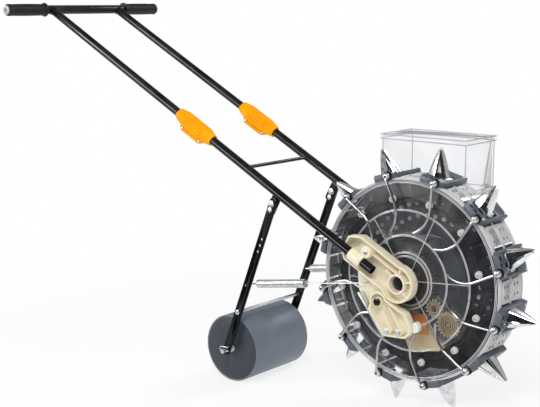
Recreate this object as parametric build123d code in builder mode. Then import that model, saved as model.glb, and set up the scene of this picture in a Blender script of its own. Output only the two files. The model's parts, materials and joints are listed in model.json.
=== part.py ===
"""Walk-behind seed planter: a duckbill wheel on a two-tube handle, with a sprung press roller behind it.

+X is forward, +Y is the machine's left (the hopper side) and +Z is up. The wheel stands on two beak tips
and the roller, and the origin is on the ground in the middle of the machine. Each side is modelled once,
on the near (-Y) side, and mirrored.
"""

import os
from math import asin, atan2, cos, degrees, hypot, pi, radians, sin, sqrt, tan

from build123d import *

os.makedirs("parts", exist_ok=True)

# Clearances
RUN = 0.05  # radial play of a turning fit
SLIP = 0.02  # radial play of a fixed fit
PLAY = 0.5  # side play between a turning face and a fixed one
SINK = 1.0  # how far a moulded feature reaches into the wall that carries it

# Duckbill wheel
BEAKS = 12
RIM_RADIUS = 206.0
RIM_WALL = 4.0
TIP_REACH = 63.4  # beak tips beyond the rim
TIP_LAG = 7.0  # degrees that a tip trails its lever pivot
PIVOT_RISE = 6.0  # lever pivots beyond the rim
PIVOT_LEAD = 10.0  # pivot ahead of the middle of its base
DRUM_NEAR = -60.0
DRUM_FAR = 30.0
DRUM_SEAM = -15.0
SHELL = 3.0
HUB_STEP = 2.0
RINGS = (57.0, 92.0, 143.0)  # moulded rings on the near face
RING_WIDTH = 3.0
RING_HEIGHT = 1.5
SPOKES = 6
SPOKE_TURN = 30.0
SPOKE_WIDTH = 3.0
SCREW_BOSS_RADIUS = 166.0
SCREW_BOSS_R = 5.5
SCREW_BOSS_HEIGHT = 6.0

# Seed chamber ring inside the drum
CHAMBER_BORE = 160.0
CHAMBER_WALL = 4.0
CHAMBER_PLAY = 0.5  # ring inside the rim's bore
WEB_BORE = 80.0
SEED_HOLE_INSET = 4.0  # seed holes inside the mouths, fore and aft
SEED_HOLE_SIDE = 3.0  # and on each side

# Beak bases and beaks
BASE_COVER = 1.25  # base over the lever wire
BASE_NEAR = -66.0
BASE_FAR = 33.0
BASE_LEAD = 24.0
BASE_LAG = 31.0
BASE_SHOULDER = 14.0  # length over which the near end narrows
BASE_NARROW = 7.0
BEAK_Y = -22.0
MOUTH_LEAD = 18.0
MOUTH_LAG = 25.0
MOUTH_HALF = 21.0
JAW_WALL = 2.0
JAW_SPLIT = -6.0
JAW_GAP = 1.0
FIXED_ROOT = (23.0, 15.0)  # half widths at the split and at the back
FIXED_BACK = 29.0
MOVING_ROOT = (19.0, 13.0)
MOVING_FRONT = 13.0
TIP_HALF = 5.0
TIP_DEPTH = 3.0
MOVING_SHORT = 3.0  # moving jaw stops short of the fixed tip
HOLLOW_TO = 0.85
HOLLOW_TIP = 0.06
SLEEVE_R = 6.0
SLEEVE_HALF = 8.0

# Opening levers
WIRE_R = 2.75
LEVER_Y = -76.0
LEVER_BEND = 8.0
LEVER_KNEE = (18.7, 79.2)  # ahead of and below the pivot
LEVER_TURN = 60.0
LEVER_END = (-8.0, 108.0)
ROD_END = 12.0
BEND_STEPS = 4

# Gear train
MODULE = 2.5
SUN_TEETH = 48
IDLER_TEETH = 14
METER_TEETH = 20
ADDENDUM = 0.9
DEDENDUM = 1.2
TOOTH_SHARE = 0.44
PRESSURE_ANGLE = 20.0
IDLER_BEARING = -43.6  # degrees above forward, seen from the near side
METER_BEARING = -44.0
GEAR_WIDTH = 8.5
SUN_BORE = 32.0
IDLER_PIN_R = 4.0
METER_SHAFT_R = 5.0

# Axle, side plate and seed housing
AXLE_BORE_R = 15.0
AXLE_R = 17.0
AXLE_SHORT = 12.0  # axle ends inside the brackets' outer faces
HUB_R = 24.0
HUB_DEPTH = 12.0
PLATE_LAND_R = 76.0
PLATE_R = 84.0
PLATE_FAR = 37.0
PLATE_SKIN = 3.5
HOUSING = (
    (-32, 74),
    (32, 74),
    (36, -10),
    (75, -40),
    (112, -62),
    (122, -88),
    (104, -114),
    (55, -142),
    (-14, -148),
    (-32, -100),
)  # forward and up from the axle
CHUTE_END = -30.0  # seam between the chute and the housing
HOUSING_NEAR = -46.5
HOUSING_WALL = 4.5
GATE_POINTS = ((-5, -68), (34, -68), (34, -110), (-5, -110))
OUTLET = 20.0
COVER_FAR = 20.0
COVER = 3.0
SEED_WHEEL_R = 24.0
SEED_CELLS = 8
SEED_CELL = 0.8  # cell floor as a share of the wheel's radius
SEED_GATE = 5.0

# Hopper
HOPPER_TILT = 5.0
HOPPER_TOP = 274.0
HOPPER_X = -34.5
HOPPER_LENGTH = 200.0
HOPPER_WIDTH = 112.0
HOPPER_STRAIGHT = 104.0
HOPPER_WALL = 2.5
THROAT_LENGTH = 60.0
THROAT_WIDTH = 38.0
THROAT_TOP = 104.0
THROAT_BOTTOM = 46.0
THROAT_GAP = 2.0  # throat off the side plate
SPOUT_LENGTH = 44.0
SPOUT_HEIGHT = 24.0
LID_LIP = 4.0
LID_SKIRT = 7.0
LID_WALL = 2.0

# Tubes and handle
TUBE_OD = 19.0
TUBE_WALL = 1.5
TUBE_SPACING = 212.0
TUBE_SLOPE = 32.6
TUBE_FOOT_X = -10.2  # where the tube line passes the height of the axle
TUBE_START = 48.0
SPLICE_AT = 595.0
SPLICE_GAP = 2.0
HANDLE_AT = 1151.0
CROSSBAR_OD = 22.0
CROSSBAR_LENGTH = 482.0
GRIP_OD = 29.0
GRIP_LENGTH = 114.0
GRIP_FLANGE_OD = 37.0
GRIP_FLANGE = 5.0
PLUG = 3.0
BRACE_AT = 428.0
BRACE_R = 4.0

# Splice connectors
CONNECTOR_LENGTH = 116.0
CONNECTOR_BODY = 70.0
CONNECTOR_WIDTH = 33.0
CONNECTOR_END = 26.0
CONNECTOR_CHAMFER = 9.0
FIN_FROM = -34.0
FIN_TO = 40.0
FIN_DEPTH = 28.0
FIN_WIDTH = 12.0
FIN_CORNER = 6.0
FIN_SLANT = 10.0

# Fasteners
M6_R = 3.0
M8_R = 4.0
HEX_RATIO = 3.4  # across flats over shank radius
HEAD_RATIO = 1.3  # head height over shank radius
SHANK_SIDES = 12

# Near bracket
BRACKET_INNER = -81.0
BRACKET_OUTER = -102.0
BRACKET_FLOOR = 4.0
BRACKET_WALL = 3.5
BRACKET_RIB = 3.0
BOSS_RIBS = (-40, 20, 80, 140)
BOSS_RIB_DROP = 2.0  # ribs below the bracket's outer face
ARM_RIB_AT = 24.0
ARM_RIB_DROP = 3.0
BOSS_R = 38.0
BORE_BOSS_R = 20.0
ARM_START = -10.0
ARM_END = 133.0
ARM_TOP = 41.0
ARM_BOTTOM = -25.0
ARM_NOSE = (25.0, 16.0)  # cut off the upper corner, along and down
ARM_CHIN = (13.0, 14.0)  # cut off the lower corner
REAR_PLATE = ((-103, 30), (-103, -17), (-94, -46), (-60, -62), (-34, -56), (-14, -34), (0, 0))
COLLAR_R = 14.5
COLLAR_FROM = 76.0
COLLAR_TO = 108.0
CLAMP_AT = (78.0, 24.0)
CLAMP_BOSS_R = 12.0
CLAMP_OUTER = -110.0
SPRING_EYE = (-80.0, -4.0)
CAM_PIVOT = (-45.0, -38.0)

# Opening cam
CAM_DEPTH = 18.0
CAM_FLOOR = 4.0
CAM_WALL = 3.5
CAM_LOBE_R = 20.0
CAM_BOSS_R = 9.0
CAM_CORNER = 10.0
CAM_HEEL = ((14.0, -108.0),)
CAM_TOE = ((28.0, -97.0), (28.0, -80.0))
CAM_BROW = ((18.0, -57.0), (-2.0, -48.5), (-30.0, -31.0), (-50.0, -22.0))
CAM_RIBS = (
    ((-38.0, -54.0), (-35.0, -56.0), (-16.0, -96.0), (-19.0, -97.0)),
    ((-22.0, -46.0), (-19.0, -48.0), (4.0, -90.0), (1.0, -91.0)),
)
CAM_RIB_DROP = 3.0
CAM_SCREWS = ((-27.0, -98.0), (1.0, -97.0))
CAM_SCREW_BOSS_R = 8.0
STRIP_TOP = (-92.0, -22.0)
STRIP_FOOT = (-36.0, -107.0)
STRIP = 4.0
STRIP_WIDTH = 18.0
PAD_OUTLINE = ((32.0, -75.0), (38.0, -76.0), (42.0, -82.0), (41.0, -92.0), (35.0, -97.0))
PAD_INNER = -80.0
PAD_OUTER = -94.0

# Roller arms
LUG_THICKNESS = 4.0
LUG_WIDTH = 22.0
LUG_CORNER = 4.0
LUG_SET = 2.0  # outer face inboard of the tube's centre
HINGE_AT = 327.5  # along the tube
HINGE_DROP = 27.0  # below the tube's centre line
STOP_REACH = 14.5
ARM_SWING = 5.0
STOP_PLAY = 0.35
ARM_THICKNESS = 4.0
ARM_WIDTH = 20.0
ARM_OVERHANG = 13.0
ARM_HOLES = (88.0, 103.5, 119.0)  # spare holes for the spring
ARM_HOLE_R = 3.3
ARM_SPRING_AT = 204.0
STAY_AT = 275.0
STAY_R = 4.0

# Press roller
ROLLER_X = -469.0
ROLLER_R = 76.5
ROLLER_LENGTH = 179.0
ROLLER_WALL = 4.0
ROLLER_CAP = 12.0
ROLLER_AXLE_R = 5.0
BUSH_R = 8.0
ROLLER_AXLE_END = 14.0  # past the arm
CLIP_R = 1.2
CLIP_REACH = 13.0
CLIP_BEND = 4.5

# Tension springs
SPRING_WIRE = 2.9  # square wire
SPRING_OD = 19.0
SPRING_Y = -94.0
SPRING_TURNS = 10
SPRING_PITCH = 13.4
SPRING_LEAD = 22.0  # from the arm eye to the first turn
SPRING_BEND = 5.6
SPRING_RAMP = 0.5  # turns over which each end winds in to the axis
SPRING_RAMP_LENGTH = 14.0
RAMP_STEPS = 2
SPRING_EYE_R = 2.4
SPRING_TAIL = 5.0

# Worked out from the sizes above
PITCH = 360 / BEAKS
RIM_BORE = RIM_RADIUS - RIM_WALL
TIP_RADIUS = RIM_RADIUS + TIP_REACH
PIVOT_RADIUS = RIM_RADIUS + PIVOT_RISE
BASE_TOP = PIVOT_RADIUS + WIRE_R + BASE_COVER
CHAMBER_RADIUS = RIM_BORE - CHAMBER_PLAY
TIP_ANGLE = -PITCH / 2
PIVOT_ANGLE = TIP_ANGLE + TIP_LAG
BASE_ANGLE = PIVOT_ANGLE - degrees(asin(PIVOT_LEAD / PIVOT_RADIUS))
PIVOT_H = sqrt(PIVOT_RADIUS**2 - PIVOT_LEAD**2)
TIP_S = TIP_RADIUS * sin(radians(TIP_ANGLE - BASE_ANGLE))
TIP_H = TIP_RADIUS * cos(radians(TIP_ANGLE - BASE_ANGLE))
LOW_CORNER = (TIP_S + TIP_DEPTH / 2, TIP_H)
LOW_ANGLE = radians(BASE_ANGLE + PITCH) + atan2(*LOW_CORNER)
AXLE_Z = hypot(*LOW_CORNER) * cos(radians(PITCH) - LOW_ANGLE)
SLOPE = radians(TUBE_SLOPE)
TUBE_Y = TUBE_SPACING / 2
TUBE_R = TUBE_OD / 2
HANDLE_X = TUBE_FOOT_X - HANDLE_AT * cos(SLOPE)
HANDLE_Z = HANDLE_AT * sin(SLOPE)
WHEEL_FRONT = TIP_RADIUS * cos(radians(PITCH / 2))
HANDLE_REAR = HANDLE_X - GRIP_FLANGE_OD / 2
AXLE_X = -(WHEEL_FRONT + HANDLE_REAR) / 2
DRUM_AXIS = Axis((AXLE_X, 0, AXLE_Z), (0, 1, 0))


def wheel_plane(y, angle=0.0):
    """Plane across the axle, facing the near side: local y points out at the angle from straight up."""
    a = radians(angle)
    return Plane(origin=(AXLE_X, y, AXLE_Z), x_dir=(cos(a), 0, -sin(a)), z_dir=(0, -1, 0))


def radial_plane(height, angle):
    """Plane square to a radius of the drum: local x leads, local y is the machine's Y."""
    a = radians(angle)
    centre = (AXLE_X + height * sin(a), 0, AXLE_Z + height * cos(a))
    return Plane(origin=centre, x_dir=(cos(a), 0, -sin(a)), z_dir=(sin(a), 0, cos(a)))


def section_plane():
    """Half plane through the drum's axis: local x is the radius and local y the machine's Y."""
    return Plane(origin=(AXLE_X, 0, AXLE_Z), x_dir=(0, 0, 1), z_dir=(-1, 0, 0))


def tube_plane(along):
    """Plane square to the near tube: local x outboard, local y up, the tube's own direction normal."""
    centre = (AXLE_X + TUBE_FOOT_X - along * cos(SLOPE), -TUBE_Y, AXLE_Z + along * sin(SLOPE))
    return Plane(origin=centre, x_dir=(0, -1, 0), z_dir=(-cos(SLOPE), 0, sin(SLOPE)))


def tube_side(y):
    """Plane beside the near tube: local x runs up along the tube, local y above it, normal inboard."""
    return Plane(
        origin=(AXLE_X + TUBE_FOOT_X, y, AXLE_Z), x_dir=(-cos(SLOPE), 0, sin(SLOPE)), z_dir=(0, 1, 0)
    )


def across(x, z, y):
    """Plane facing the near side at a point given from the axle."""
    return Plane(origin=(AXLE_X + x, y, AXLE_Z + z), x_dir=(1, 0, 0), z_dir=(0, -1, 0))


def save(piece, name):
    piece.part.label = name
    export_step(piece.part, f"parts/{name}.step")


def mirrored(piece, name):
    """The same piece for the far side."""
    with BuildPart() as far:
        add(piece.part.mirror(Plane.XZ), clean=False)
    save(far, name)


def around(part):
    """Copies of a part at every beak."""
    return [part.rotate(DRUM_AXIS, PITCH * i) for i in range(BEAKS)]


def blend(points, others, share):
    """Points part of the way from one outline to another."""
    return [(a + (c - a) * share, b + (d - b) * share) for (a, b), (c, d) in zip(points, others)]


def prism(plane, points, amount, mode=Mode.ADD):
    """Straight-edged prism standing on a plane."""
    with BuildSketch(plane) as shape:
        with BuildLine():
            Polyline(*points, close=True)
        make_face()
    extrude(shape.sketch, amount=amount, mode=mode)


def tapered(planes, outlines, mode=Mode.ADD):
    """Flat-sided solid through outlines on a row of planes; facing edges are parallel."""
    rows = [[plane.from_local_coords(p) for p in points] for plane, points in zip(planes, outlines)]
    faces = [Face(Wire.make_polygon(rows[0])), Face(Wire.make_polygon(rows[-1]))]
    for lower, upper in zip(rows, rows[1:]):
        for k in range(len(lower)):
            faces.append(Face(Wire.make_polygon((lower[k - 1], lower[k], upper[k], upper[k - 1]))))
    add(Solid(Shell(faces)), mode=mode)


def oblong(x, y, length, width, corner=0.0):
    """Corners of a rectangle about a point, cut off by a chamfer where one is given."""
    points = []
    for sx, sy, first in ((1, 1, 0), (-1, 1, 1), (-1, -1, 0), (1, -1, 1)):
        ends = [(length / 2, width / 2 - corner), (length / 2 - corner, width / 2)]
        for a, b in ends[:: -1 if first else 1] if corner else ends[:1]:
            points.append((x + sx * a, y + sy * b))
    return points


def rounded(points, radii, steps):
    """A bent line drawn in short straight runs around each corner."""
    line = [Vector(*points[0])]
    for before, corner, after, radius in zip(points, points[1:], points[2:], radii):
        corner = Vector(*corner)
        back = (Vector(*before) - corner).normalized()
        ahead = (Vector(*after) - corner).normalized()
        turn = pi - radians(back.get_angle(ahead))
        inward = (back + ahead).normalized()
        centre = corner + inward * (radius / cos(turn / 2))
        along = (ahead - back).normalized()
        for k in range(steps + 1):
            a = turn * (k / steps - 0.5)
            line.append(centre - inward * (radius * cos(a)) + along * (radius * sin(a)))
    return line + [Vector(*points[-1])]


def rod(plane, radius, amount, mode=Mode.ADD):
    """Round bar, or round hole, standing on a plane."""
    with BuildSketch(plane) as shape:
        Circle(radius)
    extrude(shape.sketch, amount=amount, mode=mode)


def hexagon(plane, shank_r, amount, mode=Mode.ADD):
    """Hexagon head, nut or recess for a shank radius."""
    with BuildSketch(plane) as shape:
        RegularPolygon(shank_r * HEX_RATIO / 2, 6, major_radius=False)
    extrude(shape.sketch, amount=amount, mode=mode)


def bolt(plane, shank_r, grip):
    """Hexagon bolt with its head on a plane and its nut at the far end of the grip."""
    head = shank_r * HEAD_RATIO
    hexagon(plane, shank_r, head)
    with BuildSketch(plane) as shank:
        RegularPolygon(shank_r, SHANK_SIDES)
    extrude(shank.sketch, amount=-grip - head)
    hexagon(plane.offset(-grip), shank_r, -head)


def screw(plane, shank_r, length):
    """Pan-head screw with its head on a plane."""
    rod(plane, shank_r * HEX_RATIO / 2, shank_r * HEAD_RATIO)
    with BuildSketch(plane) as shank:
        RegularPolygon(shank_r, SHANK_SIDES)
    extrude(shank.sketch, amount=-length)


# Tubes: each side of the handle is two tubes joined at a splice connector.
def near_tube(start, end):
    with BuildSketch(tube_plane(start)) as ring:
        Circle(TUBE_R)
        Circle(TUBE_R - TUBE_WALL, mode=Mode.SUBTRACT)
    extrude(ring.sketch, amount=end - start)


def crossbar_plane(y):
    """Plane square to the crossbar, facing the near side."""
    return across(HANDLE_X, HANDLE_Z, y)


with BuildPart() as near_lower_tube:
    near_tube(TUBE_START, SPLICE_AT - SPLICE_GAP / 2)
save(near_lower_tube, "near_lower_tube")
mirrored(near_lower_tube, "far_lower_tube")

with BuildPart() as near_upper_tube:
    near_tube(SPLICE_AT + SPLICE_GAP / 2, HANDLE_AT)
    rod(crossbar_plane(0), CROSSBAR_OD / 2, CROSSBAR_LENGTH, mode=Mode.SUBTRACT)
save(near_upper_tube, "near_upper_tube")
mirrored(near_upper_tube, "far_upper_tube")

with BuildPart() as handle_crossbar:
    rod(crossbar_plane(CROSSBAR_LENGTH / 2), CROSSBAR_OD / 2, CROSSBAR_LENGTH)
    rod(crossbar_plane(CROSSBAR_LENGTH / 2), CROSSBAR_OD / 2 - TUBE_WALL, CROSSBAR_LENGTH, mode=Mode.SUBTRACT)
save(handle_crossbar, "handle_crossbar")

with BuildPart() as handle_plugs:
    for side in (-1, 1):
        rod(crossbar_plane(side * CROSSBAR_LENGTH / 2), CROSSBAR_OD / 2, -side * PLUG)
save(handle_plugs, "handle_plugs")

GRIP_INNER = CROSSBAR_LENGTH / 2 - GRIP_LENGTH
with BuildPart() as grip:
    rod(crossbar_plane(-GRIP_INNER), GRIP_OD / 2, GRIP_LENGTH)
    rod(crossbar_plane(-GRIP_INNER), GRIP_FLANGE_OD / 2, GRIP_FLANGE)
    rod(crossbar_plane(-GRIP_INNER), CROSSBAR_OD / 2 + SLIP, GRIP_LENGTH, mode=Mode.SUBTRACT)
with BuildPart() as handle_grips:
    add(grip.part)
    mirror(grip.part, about=Plane.XZ)
save(handle_grips, "handle_grips")

with BuildPart() as brace_rod:
    brace_x = TUBE_FOOT_X - BRACE_AT * cos(SLOPE)
    brace_z = BRACE_AT * sin(SLOPE)
    rod(across(brace_x, brace_z, TUBE_Y), BRACE_R, TUBE_SPACING)
    for side in (0, 1):
        with BuildSketch(tube_plane(BRACE_AT - TUBE_OD)) as cope:
            with Locations((-side * TUBE_SPACING, 0)):
                Circle(TUBE_R)
        extrude(cope.sketch, amount=2 * TUBE_OD, mode=Mode.SUBTRACT)
        with BuildSketch(tube_plane(BRACE_AT - TUBE_OD)) as trim:
            with Locations(((1 - 2 * side) * TUBE_OD - side * TUBE_SPACING, 0)):
                Rectangle(2 * TUBE_OD, TUBE_OD)
        extrude(trim.sketch, amount=2 * TUBE_OD, mode=Mode.SUBTRACT)
save(brace_rod, "brace_rod")


# Splice connectors: two clamshell halves over each tube joint, screwed together through a lower fin.
def connector_half(keep):
    steps = (-CONNECTOR_LENGTH / 2, -CONNECTOR_BODY / 2, CONNECTOR_BODY / 2, CONNECTOR_LENGTH / 2)
    widths = (CONNECTOR_END, CONNECTOR_WIDTH, CONNECTOR_WIDTH, CONNECTOR_END)
    tapered(
        [tube_plane(SPLICE_AT + a) for a in steps],
        [oblong(0, 0, w, w, CONNECTOR_CHAMFER) for w in widths],
    )
    fin = ((FIN_FROM, 0), (FIN_FROM, FIN_CORNER - FIN_DEPTH), (FIN_FROM + FIN_SLANT, -FIN_DEPTH))
    fin += ((FIN_TO - FIN_CORNER, -FIN_DEPTH), (FIN_TO, FIN_CORNER - FIN_DEPTH), (FIN_TO, 0))
    points = [(SPLICE_AT + a, b) for a, b in fin]
    prism(tube_side(-TUBE_Y - FIN_WIDTH / 2), points, FIN_WIDTH)
    rod(tube_plane(SPLICE_AT - CONNECTOR_LENGTH), TUBE_R + SLIP, 2 * CONNECTOR_LENGTH, mode=Mode.SUBTRACT)
    split(bisect_by=Plane(origin=(0, -TUBE_Y, 0), z_dir=(0, -1, 0)), keep=keep)


with BuildPart() as connector_outers:
    connector_half(Keep.TOP)
    mirror(about=Plane.XZ)
save(connector_outers, "connector_outers")

with BuildPart() as connector_inners:
    connector_half(Keep.BOTTOM)
    mirror(about=Plane.XZ)
save(connector_inners, "connector_inners")


# Brackets: ivory mouldings that clamp the tubes and carry the axle.
def bracket_outline(y, inset):
    """Boss and arm as one flat shape, drawn in by a wall."""
    with BuildSketch(wheel_plane(y)) as flat:
        Circle(BOSS_R)
        with BuildLine():
            Polyline(*[tube_to_axle(*p) for p in ARM_POINTS], close=True)
        make_face()
        if inset:
            offset(amount=-inset, mode=Mode.REPLACE)
    return flat.sketch


def tube_to_axle(along, above):
    """A point given along and above the tube, as forward and up from the axle."""
    return (
        TUBE_FOOT_X - along * cos(SLOPE) + above * sin(SLOPE),
        along * sin(SLOPE) + above * cos(SLOPE),
    )


ARM_POINTS = (
    (ARM_START, ARM_TOP),
    (ARM_END - ARM_NOSE[0], ARM_TOP),
    (ARM_END, ARM_TOP - ARM_NOSE[1]),
    (ARM_END, ARM_BOTTOM + ARM_CHIN[1]),
    (ARM_END - ARM_CHIN[0], ARM_BOTTOM),
    (ARM_START, ARM_BOTTOM),
)
BRACKET_DEPTH = BRACKET_INNER - BRACKET_OUTER

with BuildPart() as near_bracket:
    extrude(bracket_outline(BRACKET_INNER, 0), amount=BRACKET_DEPTH)
    prism(wheel_plane(BRACKET_INNER), REAR_PLATE, BRACKET_FLOOR)
    pocket = bracket_outline(BRACKET_INNER - BRACKET_FLOOR, BRACKET_WALL)
    extrude(pocket, amount=BRACKET_DEPTH, mode=Mode.SUBTRACT)
    for angle in BOSS_RIBS:
        with BuildSketch(wheel_plane(BRACKET_INNER, angle)) as rib:
            with Locations((0, BOSS_R / 2)):
                Rectangle(BRACKET_RIB, BOSS_R - BRACKET_WALL)
        extrude(rib.sketch, amount=BRACKET_DEPTH - BOSS_RIB_DROP)
    rib_line = oblong(CLAMP_AT[0] / 2, ARM_RIB_AT, CLAMP_AT[0], BRACKET_RIB)
    prism(wheel_plane(BRACKET_INNER), [tube_to_axle(*p) for p in rib_line], BRACKET_DEPTH - ARM_RIB_DROP)
    collar = oblong((COLLAR_FROM + COLLAR_TO) / 2, 0, COLLAR_TO - COLLAR_FROM, 2 * COLLAR_R)
    prism(wheel_plane(BRACKET_INNER), [tube_to_axle(*p) for p in collar], TUBE_Y + BRACKET_INNER)
    with BuildSketch(tube_plane(COLLAR_FROM)) as sleeve:
        Circle(COLLAR_R)
    extrude(sleeve.sketch, amount=COLLAR_TO - COLLAR_FROM)
    clamp = across(*tube_to_axle(*CLAMP_AT), BRACKET_INNER)
    rod(clamp, CLAMP_BOSS_R, BRACKET_INNER - CLAMP_OUTER)
    rod(wheel_plane(BRACKET_INNER), BORE_BOSS_R, BRACKET_DEPTH)
    rod(tube_plane(TUBE_START), TUBE_R + SLIP, ARM_END, mode=Mode.SUBTRACT)
    rod(wheel_plane(BRACKET_INNER), AXLE_R + SLIP, BRACKET_DEPTH, mode=Mode.SUBTRACT)
    rod(clamp, M6_R + SLIP, BRACKET_INNER - CLAMP_OUTER, mode=Mode.SUBTRACT)
    hexagon(clamp.offset(BRACKET_INNER - CLAMP_OUTER), M6_R + RUN, -M6_R, mode=Mode.SUBTRACT)
    rod(across(*SPRING_EYE, BRACKET_INNER), SPRING_EYE_R, BRACKET_FLOOR, mode=Mode.SUBTRACT)
    rod(across(*CAM_PIVOT, BRACKET_INNER), M8_R + SLIP, BRACKET_FLOOR, mode=Mode.SUBTRACT)
save(near_bracket, "near_bracket")
mirrored(near_bracket, "far_bracket")

# Opening cam, on the near bracket only: it pushes the lever tails while their beaks are in the ground.
CAM_FACE = BRACKET_INNER - BRACKET_FLOOR
CAM_SHOULDER = blend([STRIP_TOP], [STRIP_FOOT], 0.375)[0]


def cam_outline(y, inset):
    with BuildSketch(wheel_plane(y)) as flat:
        with BuildLine():
            Polyline(CAM_SHOULDER, STRIP_FOOT, *CAM_HEEL, *CAM_TOE, *CAM_BROW, close=True)
        make_face()
        fillet(flat.vertices(), CAM_CORNER)
        with Locations(CAM_PIVOT):
            Circle(CAM_LOBE_R)
        if inset:
            offset(amount=-inset, mode=Mode.REPLACE)
    return flat.sketch


with BuildPart() as opening_cam:
    extrude(cam_outline(CAM_FACE, 0), amount=CAM_DEPTH)
    extrude(cam_outline(CAM_FACE - CAM_FLOOR, CAM_WALL), amount=CAM_DEPTH, mode=Mode.SUBTRACT)
    rod(across(*CAM_PIVOT, CAM_FACE), CAM_BOSS_R, CAM_DEPTH)
    for rib in CAM_RIBS:
        prism(wheel_plane(CAM_FACE), rib, CAM_DEPTH - CAM_RIB_DROP)
    for place in CAM_SCREWS:
        rod(across(*place, CAM_FACE), CAM_SCREW_BOSS_R, CAM_DEPTH)
        rod(across(*place, CAM_FACE), M6_R + SLIP, CAM_DEPTH, mode=Mode.SUBTRACT)
    rod(across(*CAM_PIVOT, CAM_FACE), M8_R + SLIP, CAM_DEPTH, mode=Mode.SUBTRACT)
save(opening_cam, "opening_cam")

with BuildPart() as bracket_bolts:
    seat = across(*tube_to_axle(*CLAMP_AT), CLAMP_OUTER + M6_R)
    bolt(seat, M6_R, BRACKET_INNER - CLAMP_OUTER - M6_R)
    mirror(about=Plane.XZ)
    bolt(across(*CAM_PIVOT, CAM_FACE - CAM_DEPTH), M8_R, CAM_DEPTH + BRACKET_FLOOR)
    for place in CAM_SCREWS:
        screw(across(*place, CAM_FACE - CAM_DEPTH), M6_R, CAM_DEPTH)
save(bracket_bolts, "bracket_bolts")

with BuildPart() as wear_strip:
    run = (STRIP_FOOT[0] - STRIP_TOP[0], STRIP_FOOT[1] - STRIP_TOP[1])
    back = (run[1] / hypot(*run) * STRIP, -run[0] / hypot(*run) * STRIP)
    corners = [STRIP_TOP, STRIP_FOOT]
    corners += [(p[0] + back[0], p[1] + back[1]) for p in (STRIP_FOOT, STRIP_TOP)]
    prism(wheel_plane(CAM_FACE), corners, STRIP_WIDTH)
save(wear_strip, "wear_strip")

with BuildPart() as cam_pad:
    prism(wheel_plane(PAD_INNER), (*CAM_TOE, *PAD_OUTLINE), PAD_INNER - PAD_OUTER)
save(cam_pad, "cam_pad")


# Axle, spacers, side plate and the fixed seed housing inside the drum
def ring(y, outer, inner, amount):
    with BuildSketch(wheel_plane(y)) as flat:
        Circle(outer)
        Circle(inner, mode=Mode.SUBTRACT)
    extrude(flat.sketch, amount=amount)


AXLE_END = -BRACKET_OUTER - AXLE_SHORT
HUB_FACE = DRUM_NEAR - HUB_STEP
PLATE_FACE = DRUM_FAR + PLAY
with BuildPart() as axle_tube:
    ring(AXLE_END, AXLE_R, AXLE_BORE_R, 2 * AXLE_END)
save(axle_tube, "axle_tube")

with BuildPart() as axle_spacers:
    ring(HUB_FACE - PLAY, HUB_R, AXLE_R + SLIP, HUB_FACE - PLAY - BRACKET_INNER)
    ring(-BRACKET_INNER, HUB_R, AXLE_R + SLIP, -BRACKET_INNER - PLATE_FACE - PLATE_SKIN)
save(axle_spacers, "axle_spacers")


def spout_window(y, play, amount, mode):
    """Rectangle of the seed spout, tilted with the hopper."""
    with BuildSketch(wheel_plane(y, HOPPER_TILT)) as flat:
        with Locations((0, THROAT_BOTTOM + SPOUT_HEIGHT / 2)):
            Rectangle(SPOUT_LENGTH + 2 * play, SPOUT_HEIGHT + 2 * play)
    extrude(flat.sketch, amount=amount, mode=mode)


with BuildPart() as side_plate:
    ring(PLATE_FACE + PLATE_SKIN, PLATE_R, AXLE_R + SLIP, PLATE_SKIN)
    ring(PLATE_FACE, PLATE_LAND_R - RUN, AXLE_R + SLIP, PLATE_FACE - COVER_FAR)
    spout_window(PLATE_FACE + PLATE_SKIN, SLIP, PLATE_FACE + PLATE_SKIN - COVER_FAR, Mode.SUBTRACT)
save(side_plate, "side_plate")

IDLER_X = MODULE * (SUN_TEETH + IDLER_TEETH) / 2 * cos(radians(IDLER_BEARING))
IDLER_Z = MODULE * (SUN_TEETH + IDLER_TEETH) / 2 * sin(radians(IDLER_BEARING))
METER_X = IDLER_X + MODULE * (IDLER_TEETH + METER_TEETH) / 2 * cos(radians(METER_BEARING))
METER_Z = IDLER_Z + MODULE * (IDLER_TEETH + METER_TEETH) / 2 * sin(radians(METER_BEARING))
GEAR_NEAR = DRUM_NEAR + SHELL
CHUTE_SEAM = Plane(origin=(AXLE_X, 0, AXLE_Z + CHUTE_END), z_dir=(0, 0, 1))


def housing_outline(y, inset):
    with BuildSketch(wheel_plane(y)) as flat:
        with BuildLine():
            Polyline(*HOUSING, close=True)
        make_face()
        if inset:
            offset(amount=-inset, kind=Kind.INTERSECTION, mode=Mode.REPLACE)
    return flat.sketch


HOUSING_FAR = COVER_FAR - COVER
HOUSING_DEPTH = HOUSING_FAR - HOUSING_NEAR


def housing_box():
    """Box round the axle that is open to its cover."""
    extrude(housing_outline(HOUSING_FAR, 0), amount=HOUSING_DEPTH)
    inner = housing_outline(HOUSING_FAR, HOUSING_WALL)
    extrude(inner, amount=HOUSING_DEPTH - HOUSING_WALL, mode=Mode.SUBTRACT)


with BuildPart() as seed_chute:
    housing_box()
    rod(wheel_plane(HOUSING_FAR), HUB_R, HOUSING_DEPTH)
    rod(wheel_plane(HOUSING_FAR), AXLE_R + SLIP, HOUSING_DEPTH, mode=Mode.SUBTRACT)
    split(bisect_by=CHUTE_SEAM, keep=Keep.TOP)
save(seed_chute, "seed_chute")

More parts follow.
